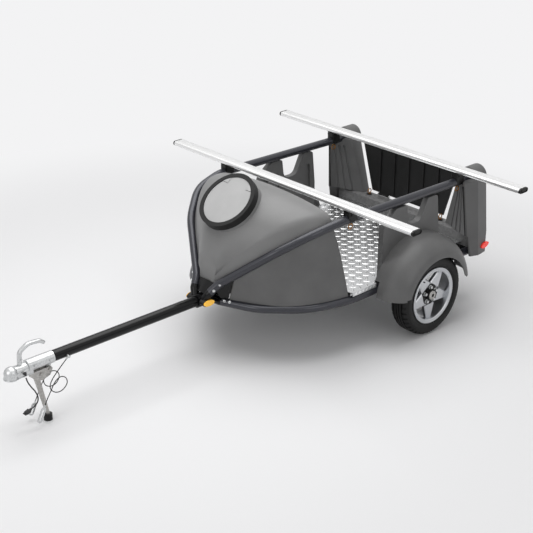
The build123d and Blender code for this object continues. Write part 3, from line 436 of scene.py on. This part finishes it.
# A pressed gusset closes the corner between the upper rails, in front of the hood.
gusset = start("plane", size=0.1, location=(0.235, 0, 0.42))
bpy.ops.object.mode_set(mode="EDIT")
for side_x, side_y, goal in (
    (-1, -1, (0.2085, -0.0560, 0.4560)), (-1, 1, (0.2085, 0.0560, 0.4560)),
    (1, -1, (0.2560, -0.0300, 0.3960)), (1, 1, (0.2560, 0.0300, 0.3960)),
):
    pick(gusset, "verts", lambda c, n: abs(c.z - 0.42) < 1e-6
         and (c.x - 0.235) * side_x > 0.02 and c.y * side_y > 0.02)
    corner = Vector((0.235 + side_x * 0.05, side_y * 0.05, 0.42))
    bpy.ops.transform.translate(value=Vector(goal) - corner)
bpy.ops.mesh.select_all(action="SELECT")
bpy.ops.mesh.subdivide(number_cuts=5)
pick(gusset, "verts", lambda c, n: abs(c.y) < 0.02)
bpy.ops.transform.translate(value=(0.003, 0, 0.003))
bpy.ops.object.mode_set(mode="OBJECT")
thicken(gusset, 0.003)
fit(gusset, "collar_gusset", black_coat, "chassis")

# On each side a plate closes the corner ahead of the nose panel, from rail to rail. There the grey
# side panel runs on to the collar in shade, and the plate's gloss black is painted shade.
for name, side in (("left", 1), ("right", -1)):
    web = start("plane", size=0.1)
    bpy.ops.object.mode_set(mode="EDIT")
    bpy.ops.mesh.select_mode(type="VERT")
    for end_x, end_y, goal in (
        (-1, -1, (0.1530, 0.1180, 0.3580)), (-1, 1, (0.1530, 0.1640, 0.5010)),
        (1, -1, (0.1760, 0.0800, 0.3590)), (1, 1, (0.2140, 0.0800, 0.4250)),
    ):
        start_at = Vector((end_x * 0.05, end_y * 0.05, 0))
        pick(web, "verts", lambda c, n: (c - start_at).length < 1e-5)
        bpy.ops.transform.translate(value=Vector((goal[0], goal[1] * side, goal[2])) - start_at)
    bpy.ops.mesh.select_all(action="SELECT")
    bpy.ops.mesh.subdivide(number_cuts=4)
    bpy.ops.object.mode_set(mode="OBJECT")
    thicken(web, 0.003, 0)
    # the black coat on this plate is painted shade over the grey panel's shaded corner
    fit(web, f"painted_shade_corner_web_{name}", black_coat, "chassis")


# RAILS
# Bent steel tubes, one upper and one lower on each side, in satin graphite powder coat.
# Their front ends are pushed over the collar's stubs and held by screws.

# dark blue grey with a soft highlight and a very fine flake
graphite, tree = finish("satin graphite powder coat")
place = add(tree, "TexCoord").outputs["Object"]
peel = add(tree, "TexNoise", {"Vector": place, "Scale": 140, "Detail": 3})
flake = add(tree, "TexNoise", {"Vector": place, "Scale": 900, "Detail": 1})
tint = ramp(tree, flake.outputs["Fac"], "#25262B", "#3F4049", (0.35, 0.75))
grain = add(tree, "Bump", {"Height": peel.outputs["Fac"], "Strength": 0.1, "Distance": 0.0006})
surface(tree, {
    "Base Color": tint, "Metallic": 0.45, "Roughness": 0.34,
    "Coat Weight": 0.45, "Coat Roughness": 0.08, "Normal": grain.outputs[0]})
coat(graphite, "upper_rail_left", "upper_rail_right", "lower_rail_left", "lower_rail_right")

# Two zinc plated screws hold each rail end on its stub of the collar.
rail_screws = []
for side in (1, -1):
    for place, way in (
        ((0.2250, 0.0765, 0.4290), (0.59, 0.81, 0.02)),
        ((0.1980, 0.0975, 0.4620), (0.59, 0.79, 0.05)),
        ((0.1560, 0.1000, 0.3350), (0.72, 0.28, 0.63)),
        ((0.1440, 0.1310, 0.3350), (0.72, 0.28, 0.63)),
    ):
        out = Vector((way[0], way[1] * side, way[2])).normalized()
        rail_screws.append((Vector((place[0], place[1] * side, place[2])) + out * 0.0235, out))
fit(set_out(bolt(0.0065, 0.003), rail_screws), "rail_screws", zinc, "chassis")


# WHEELS
# Cast aluminium rims with five flat spokes, clear coated, and black road tyres. Five nuts
# hold each rim on its hub, and a pressed cap closes the bearing.

# silver with a slightly uneven cast skin below a clear gloss
cast_alloy, tree = finish("clear coated cast aluminium")
place = add(tree, "TexCoord").outputs["Object"]
cloud = add(tree, "TexNoise", {"Vector": place, "Scale": 130, "Detail": 4})
sheen = add(tree, "MapRange", {"Value": cloud.outputs["Fac"], "To Min": 0.26, "To Max": 0.4})
grain = add(tree, "Bump", {"Height": cloud.outputs["Fac"], "Strength": 0.08, "Distance": 0.0006})
surface(tree, {
    "Base Color": linear("#C6C8CB"), "Metallic": 1.0, "Roughness": sheen.outputs[0],
    "Coat Weight": 0.5, "Coat Roughness": 0.1, "Normal": grain.outputs[0]})
coat(cast_alloy, "rim_left", "rim_right")

# near black and matt, a little cloudy from dust
tyre_rubber, tree = finish("vulcanised tyre rubber")
place = add(tree, "TexCoord").outputs["Object"]
cloud = add(tree, "TexNoise", {"Vector": place, "Scale": 90, "Detail": 6})
tint = ramp(tree, cloud.outputs["Fac"], "#080808", "#121212")
grain = add(tree, "Bump", {"Height": cloud.outputs["Fac"], "Strength": 0.2, "Distance": 0.0008})
surface(tree, {
    "Base Color": tint, "Roughness": 0.55, "IOR": 1.52, "Specular IOR Level": 0.3,
    "Normal": grain.outputs[0]})


def outline(points):
    """A line of edges through the points, extruded from one vertex, open in edit mode."""
    piece = start("plane", size=0.01, location=points[0])
    bpy.ops.object.mode_set(mode="EDIT")
    bpy.ops.mesh.select_mode(type="VERT")
    bpy.ops.mesh.select_all(action="SELECT")
    bpy.ops.mesh.merge(type="CENTER")
    for here, there in zip(points, points[1:]):
        bpy.ops.mesh.extrude_vertices_move(
            TRANSFORM_OT_translate={"value": Vector(there) - Vector(here)})
    return piece


def turned(section, centre, steps):
    """Spins a closed section of (radius, along Y) round the wheel's axle at the centre."""
    x, y, z = centre
    points = [(x + r, y + along, z) for r, along in section]
    piece = outline(points + points[:1])
    bpy.ops.mesh.select_all(action="SELECT")
    bpy.ops.mesh.remove_doubles(threshold=1e-6)
    bpy.ops.mesh.select_all(action="SELECT")
    bpy.ops.mesh.spin(steps=steps, angle=math.tau, center=centre, axis=(0, 1, 0))
    bpy.ops.mesh.select_all(action="SELECT")
    bpy.ops.mesh.remove_doubles(threshold=1e-5)
    bpy.ops.mesh.select_all(action="SELECT")
    bpy.ops.mesh.normals_make_consistent(inside=False)
    return piece


# The tyre is 130 mm wide and about 92 mm high from bead to crown, with ribs and cut
# shoulder blocks.
tyre_half = [
    # radius, distance from the middle of the tread
    (0.1535, 0.0500), (0.1560, 0.0532), (0.1740, 0.0532), (0.1790, 0.0560), (0.1840, 0.0572),
    (0.1860, 0.0600), (0.1880, 0.0614), (0.1980, 0.0642), (0.2080, 0.0648), (0.2180, 0.0638),
    (0.2190, 0.0620), (0.2205, 0.0618), (0.2290, 0.0578), (0.2370, 0.0520), (0.2412, 0.0450),
    (0.2432, 0.0400), (0.2440, 0.0330), (0.2380, 0.0320), (0.2380, 0.0280), (0.2446, 0.0270),
    (0.2449, 0.0120), (0.2385, 0.0110), (0.2385, 0.0070), (0.2450, 0.0060),
]
wheel_at = (-0.907, 0.646, 0.245)
nut_circle, valve_circle = 0.047, 0.138
for name, side in (("left", 1), ("right", -1)):
    middle = (wheel_at[0], side * wheel_at[1], wheel_at[2])
    section = tyre_half + [(r, -y) for r, y in reversed(tyre_half)]
    tyre = turned(section, middle, 120)

    def in_block(c, n):
        out = math.hypot(c.x - middle[0], c.z - middle[2])
        turn = math.atan2(c.z - middle[2], c.x - middle[0]) % math.tau
        across = abs(c.y - middle[1])
        slot_at = int(turn / math.tau * 120 + (0.5 if c.y > middle[1] else 0)) % 3 == 0
        return slot_at and 0.034 < across < 0.055 and out > 0.232
    # sipes: every third shoulder face is pressed 4 mm in
    pick(tyre, "faces", in_block)
    bpy.ops.mesh.extrude_region_shrink_fatten(TRANSFORM_OT_shrink_fatten={"value": -0.004})
    fit(tyre, f"road_tyre_{name}", tyre_rubber, f"wheel_{name}", 32,
        (f"tyre_{name}",))

    # two turned steps on the rim's outer flange
    steps_at = [(0.1705, 0.0588), (0.1700, 0.0602), (0.1650, 0.0606), (0.1638, 0.0590),
                (0.1600, 0.0578), (0.1590, 0.0590), (0.1525, 0.0586), (0.1500, 0.0560),
                (0.1500, 0.0530), (0.1660, 0.0560)]
    lip = turned([(r, side * y) for r, y in steps_at], middle, 96)
    fit(lip, f"rim_flange_{name}", cast_alloy, f"wheel_{name}", 25)

    # black centre plate on the spoke disc, with a raised edge
    plate = [(0.0338, 0.0270), (0.0620, 0.0270), (0.0635, 0.0300), (0.0620, 0.0325),
             (0.0590, 0.0330), (0.0565, 0.0312), (0.0372, 0.0312), (0.0338, 0.0330)]
    cover = turned([(r, side * y) for r, y in plate], middle, 64)
    fit(cover, f"hub_plate_{name}", black_coat, f"wheel_{name}", 25)

    # five wheel nuts between the spokes, and the valve
    nuts = bolt(0.0095, 0.013)
    fit(set_out(nuts, [
        ((middle[0] + nut_circle * math.cos(math.radians(a)), middle[1] + side * 0.0310,
          middle[2] + nut_circle * math.sin(math.radians(a))), (0, side, 0))
        for a in (18, 90, 162, 234, 306)
    ]), f"wheel_nuts_{name}", zinc, f"wheel_{name}")
    valve = start("cylinder", vertices=16, radius=0.0042, depth=0.024, location=(0, 0, 0.012))
    bpy.ops.object.mode_set(mode="EDIT")
    pick(valve, "faces", lambda c, n: n.z > 0.9)
    bpy.ops.mesh.inset(thickness=0.0012)
    bpy.ops.mesh.extrude_region_move(TRANSFORM_OT_translate={"value": (0, 0, 0.006)})
    bpy.ops.mesh.inset(thickness=0.0008)
    bpy.ops.transform.translate(value=(0, 0, 0.001))
    turn = math.radians(54)
    fit(set_out(valve, [
        ((middle[0] + valve_circle * math.cos(turn), middle[1] + side * 0.026,
          middle[2] + valve_circle * math.sin(turn)),
         (-0.25 * math.cos(turn), side, -0.25 * math.sin(turn)))
    ]), f"tyre_valve_{name}", tyre_rubber, f"wheel_{name}")
    # pressed dust cap on the hub, with a shallow dished face
    cap = turned([(0.0300, side * 0.0440), (0.0316, side * 0.0462), (0.0250, side * 0.0560),
                  (0.0235, side * 0.0566), (0.0200, side * 0.0572), (0.0120, side * 0.0566),
                  (0.0110, side * 0.0560)], middle, 48)
    fit(cap, f"dust_cap_{name}", galvanised, f"wheel_{name}", 25)


# DECK
# A sheet of bright aluminium between the rails, with a pattern of lozenges rolled into it
# and its side edges folded down.

# a bright mirror broken by the fine lines of rolling, all along the sheet
tread_metal, tree = finish("bright rolled aluminium")
place = add(tree, "TexCoord").outputs["Object"]
drawn = add(tree, "Mapping", {"Vector": place, "Scale": (6, 90, 90)})
lines = add(tree, "TexNoise", {"Vector": drawn.outputs[0], "Scale": 4, "Detail": 4})
sheen = add(tree, "MapRange", {"Value": lines.outputs["Fac"], "To Min": 0.22, "To Max": 0.42})
grain = add(tree, "Bump", {"Height": lines.outputs["Fac"], "Strength": 0.08, "Distance": 0.0005})
surface(tree, {
    "Base Color": linear("#D9DADB"), "Metallic": 1.0, "Roughness": sheen.outputs[0],
    "Normal": grain.outputs[0]})
coat(tread_metal, "deck_plate")

# The rolled lozenges: 42 mm long, in rows 57 mm apart both ways, with a second set turned
# square to them between the rows. One is shaped, two make a tile, and the tile is set out
# over the plate and cut back to its outline.
tread_pitch = 0.057
tread_start = (-1.3695, -0.5415)
plate_top = 0.3859
# the plate's clear length, and where the fenders and the nose panels narrow it
plate_rear, plate_front = -1.375, -0.302
fender_front, panel_rear = -0.581, -0.382
lozenge = start("circle", vertices=8, radius=0.021, fill_type="NGON", location=(0, 0, 0))
bpy.ops.object.mode_set(mode="EDIT")
bpy.ops.transform.resize(value=(1, 0.33, 1))
bpy.ops.mesh.extrude_region_move(TRANSFORM_OT_translate={"value": (0, 0, 0.0018)})
bpy.ops.transform.resize(value=(0.8, 0.5, 1))
bpy.ops.object.mode_set(mode="OBJECT")
tile = []
for half in (0, 0.5):
    bpy.ops.object.select_all(action="DESELECT")
    lozenge.select_set(True)
    bpy.context.view_layer.objects.active = lozenge
    bpy.ops.object.duplicate()
    turn = Matrix.Rotation(math.radians(-45 if half else 45), 4, "Z")
    shift = Matrix.Translation((tread_start[0] + half * tread_pitch,
                                tread_start[1] + half * tread_pitch, plate_top))
    bpy.context.object.data.transform(shift @ turn)
    tile.append(bpy.context.object)
bpy.data.objects.remove(lozenge)
for one in tile:
    one.select_set(True)
bpy.ops.object.join()
tread = bpy.context.object
for name, way, count in (("along", 0, 19), ("across", 1, 20)):
    row = tread.modifiers.new(name, "ARRAY")
    row.count = count
    row.use_relative_offset = False
    row.use_constant_offset = True
    row.constant_offset_displace = [tread_pitch if k == way else 0 for k in range(3)]
    bpy.ops.object.modifier_apply(modifier=name)
edit(tread)


def off_plate(c, n):
    """True for a face of a lozenge whose middle is off the plate or under a wall."""
    middles = []
    for half in (0, 0.5):
        step = [(c[k] - tread_start[k]) / tread_pitch - half for k in (0, 1)]
        middle = [tread_start[k] + (round(step[k]) + half) * tread_pitch for k in (0, 1)]
        middles.append((math.hypot(c.x - middle[0], c.y - middle[1]), *middle))
    _, x, y = min(middles)
    room = 0.486 if x < fender_front else 0.550 if x < panel_rear else 0.500
    return abs(y) > room or x > plate_front or x < plate_rear


pick(tread, "faces", off_plate)
bpy.ops.mesh.delete(type="FACE")
bpy.ops.mesh.select_all(action="SELECT")
bpy.ops.mesh.delete_loose()
# brighter than the sheet, as feet polish the tops
worn_metal, tree = finish("worn tops of rolled aluminium")
place = add(tree, "TexCoord").outputs["Object"]
# scuffs on the tops, about 12 mm
scuff = add(tree, "TexNoise", {"Vector": place, "Scale": 80, "Detail": 5})
tint = ramp(tree, scuff.outputs["Fac"], "#D5D6D7", "#F4F4F4", (0.35, 0.65))
sheen = add(tree, "MapRange", {"Value": scuff.outputs["Fac"], "To Min": 0.2, "To Max": 0.36})
surface(tree, {
    "Base Color": tint, "Metallic": 1.0, "Roughness": sheen.outputs[0]})
fit(tread, "tread_lozenges", worn_metal, "chassis", 20)

# Between the nose panel and the fender the plate's edge is folded down over the lower rail,
# with the lozenges running on over the fold.
for name, side in (("left", 1), ("right", -1)):
    fold = start("cube", size=1, location=(-0.4695, side * 0.5655, 0.3735),
                 scale=(0.189, 0.0025, 0.0245))
    bpy.ops.object.mode_set(mode="EDIT")
    pick(fold, "edges", lambda c, n: c.z > 0.3855 and abs(n.x) > 0.1 and c.y * side > 0.566)
    bpy.ops.mesh.bevel(offset=0.0018, segments=3)
    bpy.ops.object.mode_set(mode="OBJECT")
    fit(fold, f"deck_fold_{name}", tread_metal, "chassis")
    mark = start("circle", vertices=8, radius=0.0125, fill_type="NGON", location=(0, 0, 0))
    bpy.ops.object.mode_set(mode="EDIT")
    bpy.ops.transform.resize(value=(1, 0.34, 1))
    bpy.ops.mesh.extrude_region_move(TRANSFORM_OT_translate={"value": (0, 0, 0.0016)})
    bpy.ops.transform.resize(value=(0.8, 0.5, 1))
    bpy.ops.object.mode_set(mode="OBJECT")
    mark.data.transform(Matrix.Rotation(math.radians(35), 4, "Z"))
    fit(set_out(mark, [
        ((-0.547 + k * 0.0285, side * 0.5666, 0.3735), (0, side, 0)) for k in range(6)
    ]), f"fold_lozenges_{name}", worn_metal, "chassis", 20)


# BODY PANELS
# Towers, fenders, pillars, nose sides, sill and inner walls: moulded ABS, grey all through,
# with the fine leather grain of the mould.
body_plastic, tree = finish("grained grey ABS")
place = add(tree, "TexCoord").outputs["Object"]
# mould grain of about 1 mm, drawn at 4 mm
pores = add(tree, "TexVoronoi", {"Vector": place, "Scale": 260})
cloud = add(tree, "TexNoise", {"Vector": place, "Scale": 7, "Detail": 4})
tint = ramp(tree, cloud.outputs["Fac"], "#585858", "#616161", (0.3, 0.7))
grain = add(tree, "Bump", {"Height": pores.outputs["Distance"], "Strength": 0.15,
                           "Distance": 0.0005})
surface(tree, {
    "Base Color": tint, "Roughness": 0.46, "IOR": 1.52, "Normal": grain.outputs[0]})
coat(body_plastic, "side_tower_left", "side_tower_right", "fender_left", "fender_right",
     "rear_pillar_left", "rear_pillar_right", "nose_side_left", "nose_side_right",
     "nose_bulkhead", "nose_floor")


def bead(name, points, diameter):
    """A round bead along the points, made a mesh."""
    line = route(name, points, diameter)
    bpy.ops.object.select_all(action="DESELECT")
    line.select_set(True)
    bpy.context.view_layer.objects.active = line
    bpy.ops.object.convert(target="MESH")
    return bpy.context.object


# The nose panels' rear edges and the fenders' openings are rolled over a bead.
arch = [math.radians(a) for a in range(18, 170, 8)]
arch_x, arch_z, arch_radius = -0.915, 0.237, 0.2515
for name, side in (("left", 1), ("right", -1)):
    edge = bead("roll", [
        (-0.3615, side * 0.5370, 0.3600), (-0.3580, side * 0.5345, 0.3910),
        (-0.3400, side * 0.5270, 0.4850), (-0.3210, side * 0.5185, 0.5850),
        (-0.3040, side * 0.5125, 0.6550), (-0.2870, side * 0.5065, 0.7200),
        (-0.2740, side * 0.5005, 0.7650)], 0.010)
    fit(edge, f"nose_edge_roll_{name}", body_plastic, "chassis", 50)
    lip = bead("lip", [(arch_x + arch_radius * math.cos(a), side * 0.7335,
                        arch_z + arch_radius * math.sin(a)) for a in arch], 0.008)
    fit(lip, f"fender_lip_{name}", body_plastic, "chassis", 50)
    # a black rubber seal runs down the front corner of each pillar
    seal = bead("seal", [
        (-1.3352, side * 0.5725, 0.4580), (-1.3280, side * 0.5690, 0.5300),
        (-1.3150, side * 0.5630, 0.6500), (-1.3015, side * 0.5575, 0.7750)], 0.008)
    fit(seal, f"pillar_seal_{name}", moulded_rubber, "chassis", 50)

# The sill is stepped on, so its mould grain is coarser and scuffed to a paler grey.
sill_plastic, tree = finish("scuffed grey ABS")
place = add(tree, "TexCoord").outputs["Object"]
pores = add(tree, "TexVoronoi", {"Vector": place, "Scale": 170})
scuff = add(tree, "TexNoise", {"Vector": place, "Scale": 45, "Detail": 6, "Roughness": 0.7})
tint = ramp(tree, scuff.outputs["Fac"], "#5C5C5C", "#7B7B7B", (0.35, 0.7))
grain = add(tree, "Bump", {"Height": pores.outputs["Distance"], "Strength": 0.25,
                           "Distance": 0.0006})
surface(tree, {
    "Base Color": tint, "Roughness": 0.5, "IOR": 1.52, "Normal": grain.outputs[0]})
coat(sill_plastic, "rear_sill")


# NOSE HOOD AND HATCH
# One moulded shell in a lighter grey, with a round boss. A rubber ring seals the pale lid,
# which turns on two short pins below its covers.

# an even mid grey with a soft satin highlight over the curve
hood_plastic, tree = finish("satin grey ABS")
place = add(tree, "TexCoord").outputs["Object"]
cloud = add(tree, "TexNoise", {"Vector": place, "Scale": 6, "Detail": 4})
tint = ramp(tree, cloud.outputs["Fac"], "#757575", "#7D7D7D", (0.3, 0.7))
pores = add(tree, "TexVoronoi", {"Vector": place, "Scale": 260})
grain = add(tree, "Bump", {"Height": pores.outputs["Distance"], "Strength": 0.1,
                           "Distance": 0.0004})
surface(tree, {
    "Base Color": tint, "Roughness": 0.42, "IOR": 1.52, "Normal": grain.outputs[0]})
coat(hood_plastic, "nose_hood")

# a pale, flat grey, the lightest of the plastics
lid_plastic, tree = finish("pale grey ABS")
place = add(tree, "TexCoord").outputs["Object"]
cloud = add(tree, "TexNoise", {"Vector": place, "Scale": 9, "Detail": 4})
tint = ramp(tree, cloud.outputs["Fac"], "#A9A9A9", "#B0B0B0", (0.3, 0.7))
surface(tree, {
    "Base Color": tint, "Roughness": 0.45, "IOR": 1.52})
coat(lid_plastic, "hatch_lid")

# Two hinge covers sit on the ring over the lid's pins and fill its cut corners.
hatch_tilt, lid_radius = math.radians(40), 0.1487
hatch_turn = Matrix(((0, -math.cos(hatch_tilt), math.sin(hatch_tilt), 0.052),
                     (1, 0, 0, 0),
                     (0, math.sin(hatch_tilt), math.cos(hatch_tilt), 0.890),
                     (0, 0, 0, 1)))
for name, side in (("left", 1), ("right", -1)):
    rim_arc = [(lid_radius * math.cos(math.radians(a)), lid_radius * math.sin(math.radians(a)))
               for a in (39, 43, 47, 51, 55, 59.6)]
    corners = [(0.0752, 0.0932), *rim_arc]
    cover = outline([(side * x, y, 0.0004) for x, y in corners])
    bpy.ops.mesh.select_all(action="SELECT")
    bpy.ops.mesh.edge_face_add()
    bpy.ops.mesh.extrude_region_move(TRANSFORM_OT_translate={"value": (0, 0, 0.0016)})
    bpy.ops.mesh.inset(thickness=0.0012)
    bpy.ops.transform.translate(value=(0, 0, 0.0004))
    bpy.ops.mesh.select_all(action="SELECT")
    bpy.ops.mesh.normals_make_consistent(inside=False)
    bpy.ops.object.mode_set(mode="OBJECT")
    cover.data.transform(hatch_turn)
    fit(cover, f"hinge_cover_{name}", lid_plastic, "chassis")


# LOAD BARS
# Flat oval extrusions in silver anodised aluminium, with black caps. Each stands on two
# black saddles that are strapped round the upper rails.

# near white satin metal with long fine draw lines
anodised, tree = finish("silver anodised aluminium")
place = add(tree, "TexCoord").outputs["Object"]
drawn = add(tree, "Mapping", {"Vector": place, "Scale": (300, 3, 300)})
lines = add(tree, "TexNoise", {"Vector": drawn.outputs[0], "Scale": 1, "Detail": 3})
sheen = add(tree, "MapRange", {"Value": lines.outputs["Fac"], "To Min": 0.24, "To Max": 0.4})
surface(tree, {
    "Base Color": linear("#F1F1F1"), "Metallic": 0.85, "Roughness": sheen.outputs[0],
    "Anisotropic": 0.4})
coat(anodised, "load_bar_front", "load_bar_rear")

# black with a dull sheen and a fine mould grain
black_plastic, tree = finish("moulded black nylon")
place = add(tree, "TexCoord").outputs["Object"]
cloud = add(tree, "TexNoise", {"Vector": place, "Scale": 220, "Detail": 4})
tint = ramp(tree, cloud.outputs["Fac"], "#0A0A0A", "#161616")
grain = add(tree, "Bump", {"Height": cloud.outputs["Fac"], "Strength": 0.25, "Distance": 0.0004})
surface(tree, {
    "Base Color": tint, "Roughness": 0.42, "IOR": 1.53, "Specular IOR Level": 0.3,
    "Normal": grain.outputs[0]})
coat(black_plastic, "bar_brackets", "side_marker_housings")

# End caps: flat ovals pushed into the bars, with a recessed face and a round screw boss.
cap = start("circle", vertices=40, radius=0.0146, fill_type="NGON", location=(0, 0, 0))
bpy.ops.object.mode_set(mode="EDIT")
pick(cap, "verts", lambda c, n: c.x > 0.0005)
bpy.ops.transform.translate(value=(0.0232, 0, 0))
pick(cap, "verts", lambda c, n: c.x < -0.0005)
bpy.ops.transform.translate(value=(-0.0232, 0, 0))
bpy.ops.mesh.select_mode(type="FACE")
bpy.ops.mesh.select_all(action="SELECT")
bpy.ops.mesh.extrude_region_move(TRANSFORM_OT_translate={"value": (0, 0, 0.0108)})
bpy.ops.mesh.inset(thickness=0.0014)
bpy.ops.transform.translate(value=(0, 0, 0.0011))
bpy.ops.mesh.inset(thickness=0.0026)
bpy.ops.mesh.extrude_region_move(TRANSFORM_OT_translate={"value": (0, 0, -0.0035)})
bpy.ops.mesh.inset(thickness=0.0012)
bpy.ops.mesh.primitive_torus_add(major_radius=0.0065, minor_radius=0.0014,
                                 major_segments=24, minor_segments=8,
                                 location=(0.019, 0, 0.0090))
bpy.ops.mesh.primitive_uv_sphere_add(segments=16, ring_count=8, radius=0.0036,
                                     location=(0.019, 0, 0.0080))
bpy.ops.object.mode_set(mode="OBJECT")
fit(set_out(cap, [
    ((x, side * 0.9785, 0.875), (0, side, 0)) for x in (-0.393, -1.299) for side in (1, -1)
]), "bar_cap_ovals", black_plastic, "chassis", 30, ("bar_end_caps",))

# A pressed steel strap passes below the rail at each saddle, between its two screws.
strap = start("cylinder", vertices=48, radius=0.0262, depth=0.022,
              location=(0, 0, 0), rotation=(0, math.pi / 2, 0))
bpy.ops.object.mode_set(mode="EDIT")
pick(strap, "faces", lambda c, n: abs(n.x) > 0.9)
bpy.ops.mesh.inset(thickness=0.0018, use_boundary=True)
bpy.ops.mesh.delete(type="FACE")
pick(strap, "faces", lambda c, n: c.z > -0.004)
bpy.ops.mesh.delete(type="FACE")
bpy.ops.object.mode_set(mode="OBJECT")
thicken(strap, 0.0015)
fit(set_out(strap, [
    ((x, side * 0.514, z), (0, 0, 1))
    for x, z in ((-0.393, 0.8112), (-1.299, 0.7999)) for side in (1, -1)
]), "saddle_straps", black_plastic, "chassis")

# Two screws on the outer face of each saddle clamp it round the rail.
fit(set_out(bolt(0.0062, 0.004), [
    ((x + step, side * 0.5405, 0.842), (0, side, 0))
    for x in (-0.393, -1.299) for step in (-0.02, 0.02) for side in (1, -1)
]), "saddle_screws", black_plastic, "chassis")


# TAILGATE
# A black moulded panel with ribs on the load side. Hinges hold its lower edge on the sill,
# and it turns outward and down.

# black, rough grained and nearly without highlight
gate_plastic, tree = finish("grained black polypropylene")
place = add(tree, "TexCoord").outputs["Object"]
pores = add(tree, "TexVoronoi", {"Vector": place, "Scale": 160})
tint = ramp(tree, pores.outputs["Distance"], "#0D0D0D", "#171717")
grain = add(tree, "Bump", {"Height": pores.outputs["Distance"], "Strength": 0.3,
                           "Distance": 0.0006})
surface(tree, {
    "Base Color": tint, "Roughness": 0.5, "IOR": 1.49, "Specular IOR Level": 0.35,
    "Normal": grain.outputs[0]})
coat(gate_plastic, "tailgate")


# LAMPS AND TIE-DOWN RINGS
# Clear coloured acrylic lenses, amber by the collar and red on the rear pillars, and rings
# of bent brass-plated wire on their studs.
for name, node, deep, light in (
    # material, CAD node, the tint in the ribs, the tint between them
    ("amber acrylic", "side_marker_lenses", "#E89A14", "#FFD55A"),
    ("red acrylic", "tail_lamps", "#D01008", "#FF3A2A"),
):
    # strong clear colour that seems lit from within, ribbed and glossy
    lens_plastic, tree = finish(name)
    place = add(tree, "TexCoord").outputs["Object"]
    ribs = add(tree, "TexWave", {"Vector": place, "Scale": 60}, bands_direction="Z")
    tint = ramp(tree, ribs.outputs["Fac"], deep, light)
    grain = add(tree, "Bump", {"Height": ribs.outputs["Fac"], "Strength": 0.3,
                               "Distance": 0.0006})
    surface(tree, {
        "Base Color": tint, "Emission Color": tint,
        "Emission Strength": 0.35, "Roughness": 0.14, "IOR": 1.49, "Coat Weight": 0.6,
        "Coat Roughness": 0.05, "Normal": grain.outputs[0]})
    coat(lens_plastic, node)

# a dark warm gold, tarnished in patches
brass, tree = finish("brass plated wire")
place = add(tree, "TexCoord").outputs["Object"]
cloud = add(tree, "TexNoise", {"Vector": place, "Scale": 200, "Detail": 4})
tint = ramp(tree, cloud.outputs["Fac"], "#7A4E22", "#B98748")
surface(tree, {
    "Base Color": tint, "Metallic": 1.0, "Roughness": 0.32})
coat(brass, "tie_down_rings")

# Black nylon washers below the two rings on the sill.
washer = start("cylinder", vertices=32, radius=0.019, depth=0.003, location=(0, 0, 0.0015))
bpy.ops.object.mode_set(mode="EDIT")
pick(washer, "faces", lambda c, n: n.z > 0.9)
bpy.ops.mesh.inset(thickness=0.004)
bpy.ops.transform.translate(value=(0, 0, 0.0015))
bpy.ops.mesh.inset(thickness=0.0045)
bpy.ops.transform.translate(value=(0, 0, -0.002))
fit(set_out(washer, [((-1.425, side * 0.3, 0.4551), (0, 0, 1)) for side in (1, -1)]),
    "ring_washers", black_plastic, "chassis")
